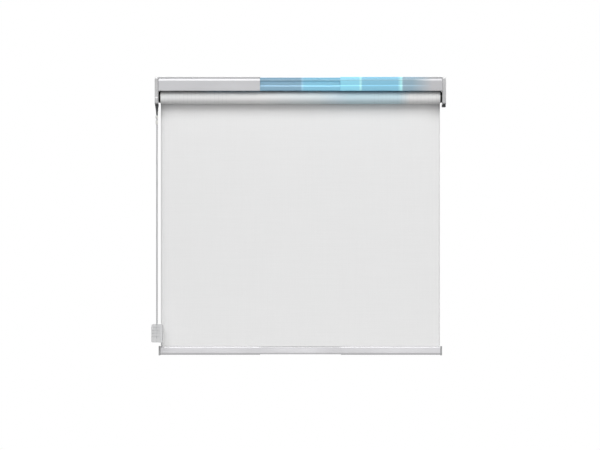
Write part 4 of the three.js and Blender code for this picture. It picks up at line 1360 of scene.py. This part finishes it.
@dataclass
class HangingCloth:
    """The hanging sheet of cloth, from the back of the roll into the bottom rail's slot."""

    thickness: float = 0.5 * MM
    wrap_deg: float = 8.0
    into_slot: float = 3.5 * MM
    sway: float = 0.35 * MM
    columns: int = 140
    rows: int = 120

    def build(self) -> bpy.types.Object:
        """The sheet as a surface of width u and length v.

        Above the tangent line a point lies on the roll's circle. Below it, y is the cloth's plane plus
        sway x sin(2 pi v) x cos(3 pi u), which is nothing at the roll and at the rail.
        """
        half = CLOTH_HALF
        plane = node_centre("fabric_sheet")[Y]
        top = node_range("fabric_sheet", Z)[1]
        rail_top = node_range("bottom_rail_left", Z)[1]
        hang = top - rail_top
        radius = plane - ROLL_AXIS[Y]
        wrap = math.radians(self.wrap_deg) * radius
        u = np.linspace(-1, 1, self.columns)[None]
        on_roll = np.linspace(-wrap, 0, 12)[:-1]
        below = np.linspace(0, hang + self.into_slot, self.rows)
        s = np.concatenate([on_roll, below])[:, None]
        v = np.clip(s / hang, 0, 1)
        angle = np.minimum(s, 0) / radius
        y = plane - radius * (1 - np.cos(angle)) + self.sway * np.sin(2 * np.pi * v) * np.cos(3 * np.pi * u)
        z = np.where(s < 0, top - radius * np.sin(angle), top - s) + 0 * u
        points = np.stack([half * u + 0 * s, y, z], axis=-1)
        quads = grid_quads(points.shape[0], points.shape[1])
        piece = mesh_object("hanging_cloth", points.reshape(-1, 3), list(quads), 60)
        thick = piece.modifiers.new("cloth_thickness", "SOLIDIFY")
        thick.thickness = self.thickness
        thick.offset = 0
        dress(piece, SHEET_CLOTH, Body.WALL, "fabric_sheet")
        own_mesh(piece)
        return piece


@dataclass
class BottomRail:
    """The telescopic bottom rail: three slotted sections, two caps and the rod in the hem."""

    wall: float = 1.3 * MM
    slide_gap: float = 0.35 * MM
    slot: float = 2.4 * MM
    top_slope: float = 3.4 * MM
    low_slope: float = 6.2 * MM

    def outline(self, inset: float) -> Array:
        """A section: sloped top edges, flat faces, lower edges drawn in, and a slot along the top."""
        low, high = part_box("bottom_rail_left")
        plane = (low[Y] + high[Y]) / 2
        height = high[Z] - low[Z]

        def side(gap: float) -> list[tuple[float, float]]:
            half = (high[Y] - low[Y]) / 2 - gap
            draw = 0.44 * half
            return [
                (half - draw, -gap), (half, -self.top_slope), (half, -height + self.low_slope),
                (half - 0.8 * draw, -height + gap),
            ]

        outer, inner = side(inset), side(inset + self.wall)
        slot = self.slot / 2
        right = [(slot, -inset), *outer]
        left = [(-y, z) for y, z in reversed(right)]
        inner_left = [(-y, z) for y, z in reversed(inner)]
        lip = -inset - self.wall
        hollow = [(-slot, lip), *reversed(inner_left), *reversed(inner), (slot, lip)]
        corners = [(plane + y, high[Z] + z) for y, z in [*right, *left, *hollow]]
        return rounded_outline(corners, 0.45 * MM, 4)

    def caps(self) -> None:
        """The two end caps, as rounded plates with a tongue."""
        for side, body in (("left", Body.RAIL), ("right", Body.RAIL_END)):
            node = f"bottom_cap_{side}"
            dress(refined_node(node, f"{node}_moulding", 0.8 * MM), CAP, body, node)

    def build(self) -> None:
        """Makes every piece of the bottom rail."""
        inner_inset = self.wall + self.slide_gap
        for node, inset, body in (
            ("bottom_rail_left", 0.0, Body.RAIL),
            ("bottom_rail_inner", inner_inset, Body.RAIL),
            ("bottom_rail_right", 0.0, Body.RAIL_END),
        ):
            stations = np.linspace(*node_range(node, X), 25)
            piece = bevelled(prism(f"{node}_section", self.outline(inset), stations), 0.2 * MM)
            dress(piece, RAIL_SHADED_COAT, body, node)
        self.caps()
        profile = rod_profile(*node_range("hem_spline", X), 1.1 * MM)
        rod = turned("hem_spline_rod", profile, axis_point("hem_spline"), segments=24)
        dress(rod, NYLON, Body.RAIL, "hem_spline")


# ---------------------------------------------------------------- studio


@dataclass
class Studio:
    """A long-lens camera straight in front, a pale floor below the view and soft light."""

    metres_wide: float = 1.86
    distance: float = 10.0
    look_at: Point = (-0.0011, 0.0, -0.4363)
    sensor: float = 36.0
    floor_height: float = -1.75

    def camera(self) -> None:
        """The camera looks along +Y at the middle of the view."""
        data = bpy.data.cameras.new("front_camera")
        data.sensor_width = self.sensor
        data.lens = self.sensor * self.distance / self.metres_wide
        data.clip_end = 100
        camera = bpy.data.objects.new("front_camera", data)
        camera.location = (self.look_at[X], -self.distance - 0.03, self.look_at[Z])
        camera.rotation_euler = (math.pi / 2, 0, 0)
        bpy.context.scene.collection.objects.link(camera)
        bpy.context.scene.camera = camera

    def area_light(
        self, name: str, place: Point, aim: Point, size: tuple[float, float], power: float
    ) -> None:
        """A soft rectangular light.

        Args:
            name: the light's name.
            place: where it stands.
            aim: the point that it faces.
            size: its width and height in metres.
            power: its power in watts.
        """
        data = bpy.data.lights.new(name, "AREA")
        data.shape = "RECTANGLE"
        data.size, data.size_y = size
        data.energy = power
        light = bpy.data.objects.new(name, data)
        light.location = place
        direction = np.array(aim) - np.array(place)
        light.rotation_mode = "QUATERNION"
        light.rotation_quaternion = Vector(direction).to_track_quat("-Z", "Y")
        bpy.context.scene.collection.objects.link(light)

    def world(self, seen: float, lighting: float) -> None:
        """A white world that lights the blind less than it shows behind it."""
        world = bpy.data.worlds.new("white_room")
        bpy.context.scene.world = world
        world.use_nodes = True
        tree = world.node_tree
        tree.nodes.clear()
        output = tree.nodes.new("ShaderNodeOutputWorld")
        mix = tree.nodes.new("ShaderNodeMixShader")
        path = tree.nodes.new("ShaderNodeLightPath")
        tree.links.new(path.outputs["Is Camera Ray"], mix.inputs["Fac"])
        for index, strength in ((1, lighting), (2, seen)):
            background = tree.nodes.new("ShaderNodeBackground")
            background.inputs["Color"].default_value = (1, 1, 1, 1)
            background.inputs["Strength"].default_value = strength
            tree.links.new(background.outputs[0], mix.inputs[index])
        tree.links.new(mix.outputs[0], output.inputs["Surface"])

    def floor(self) -> None:
        """A plain pale floor under the blind, just below the view."""
        half = 1.5
        corners = np.array([(-half, -half), (half, -half), (half, half), (-half, half)])
        points = np.concatenate([corners, np.full((4, 1), self.floor_height)], axis=1)
        plane = mesh_object("studio_floor", points, [[0, 1, 2, 3]])
        finish = MouldedPlastic("floor_paint", "", (0.86, 0.86, 0.86), 0.7, 4 * MM, 0.01 * MM, 0.2)
        plane.data.materials.append(finish.material())
        plane.visible_diffuse = False
        plane.visible_glossy = False

    def build(self) -> None:
        """Sets up the camera, the world, the floor and the lights."""
        bpy.context.scene.view_settings.view_transform = "Standard"
        self.camera()
        self.world(1.0, 0.16)
        self.floor()
        self.area_light("low_panel", (0.8, -5.0, 1.15), (0.8, 0.0, 1.15), (10.0, 2.6), 106)
        self.area_light("high_panel", (0.8, -5.0, 5.05), (0.8, 0.0, 5.05), (10.0, 5.2), 610)
        self.area_light("low_fill", (0.0, -0.9, -1.3), (0.0, -0.03, -0.8), (2.4, 0.5), 3.8)
        self.area_light("rear_fill", (0.5, 3.0, 0.8), (0.0, -0.03, -0.42), (2.4, 2.0), 60)
        self.area_light("overhead_panel", (-0.1, -0.7, 1.5), (-0.1, -0.69, 0.0), (3.2, 2.6), 62)
        bpy.data.objects["overhead_panel"].visible_diffuse = False


def main() -> None:
    """Builds the studio and every sub-assembly."""
    logging.basicConfig(level=logging.INFO, format="%(message)s")
    Studio().build()
    Headrail().build()
    EndBracket("left", Body.WALL).build()
    EndBracket("right", Body.RIGHT_END).build()
    ChainDrive().build()
    Roller().build()
    BeadChain().build()
    Tensioner().build()
    HangingCloth().build()
    BottomRail().build()


if __name__ == "__main__":
    main()
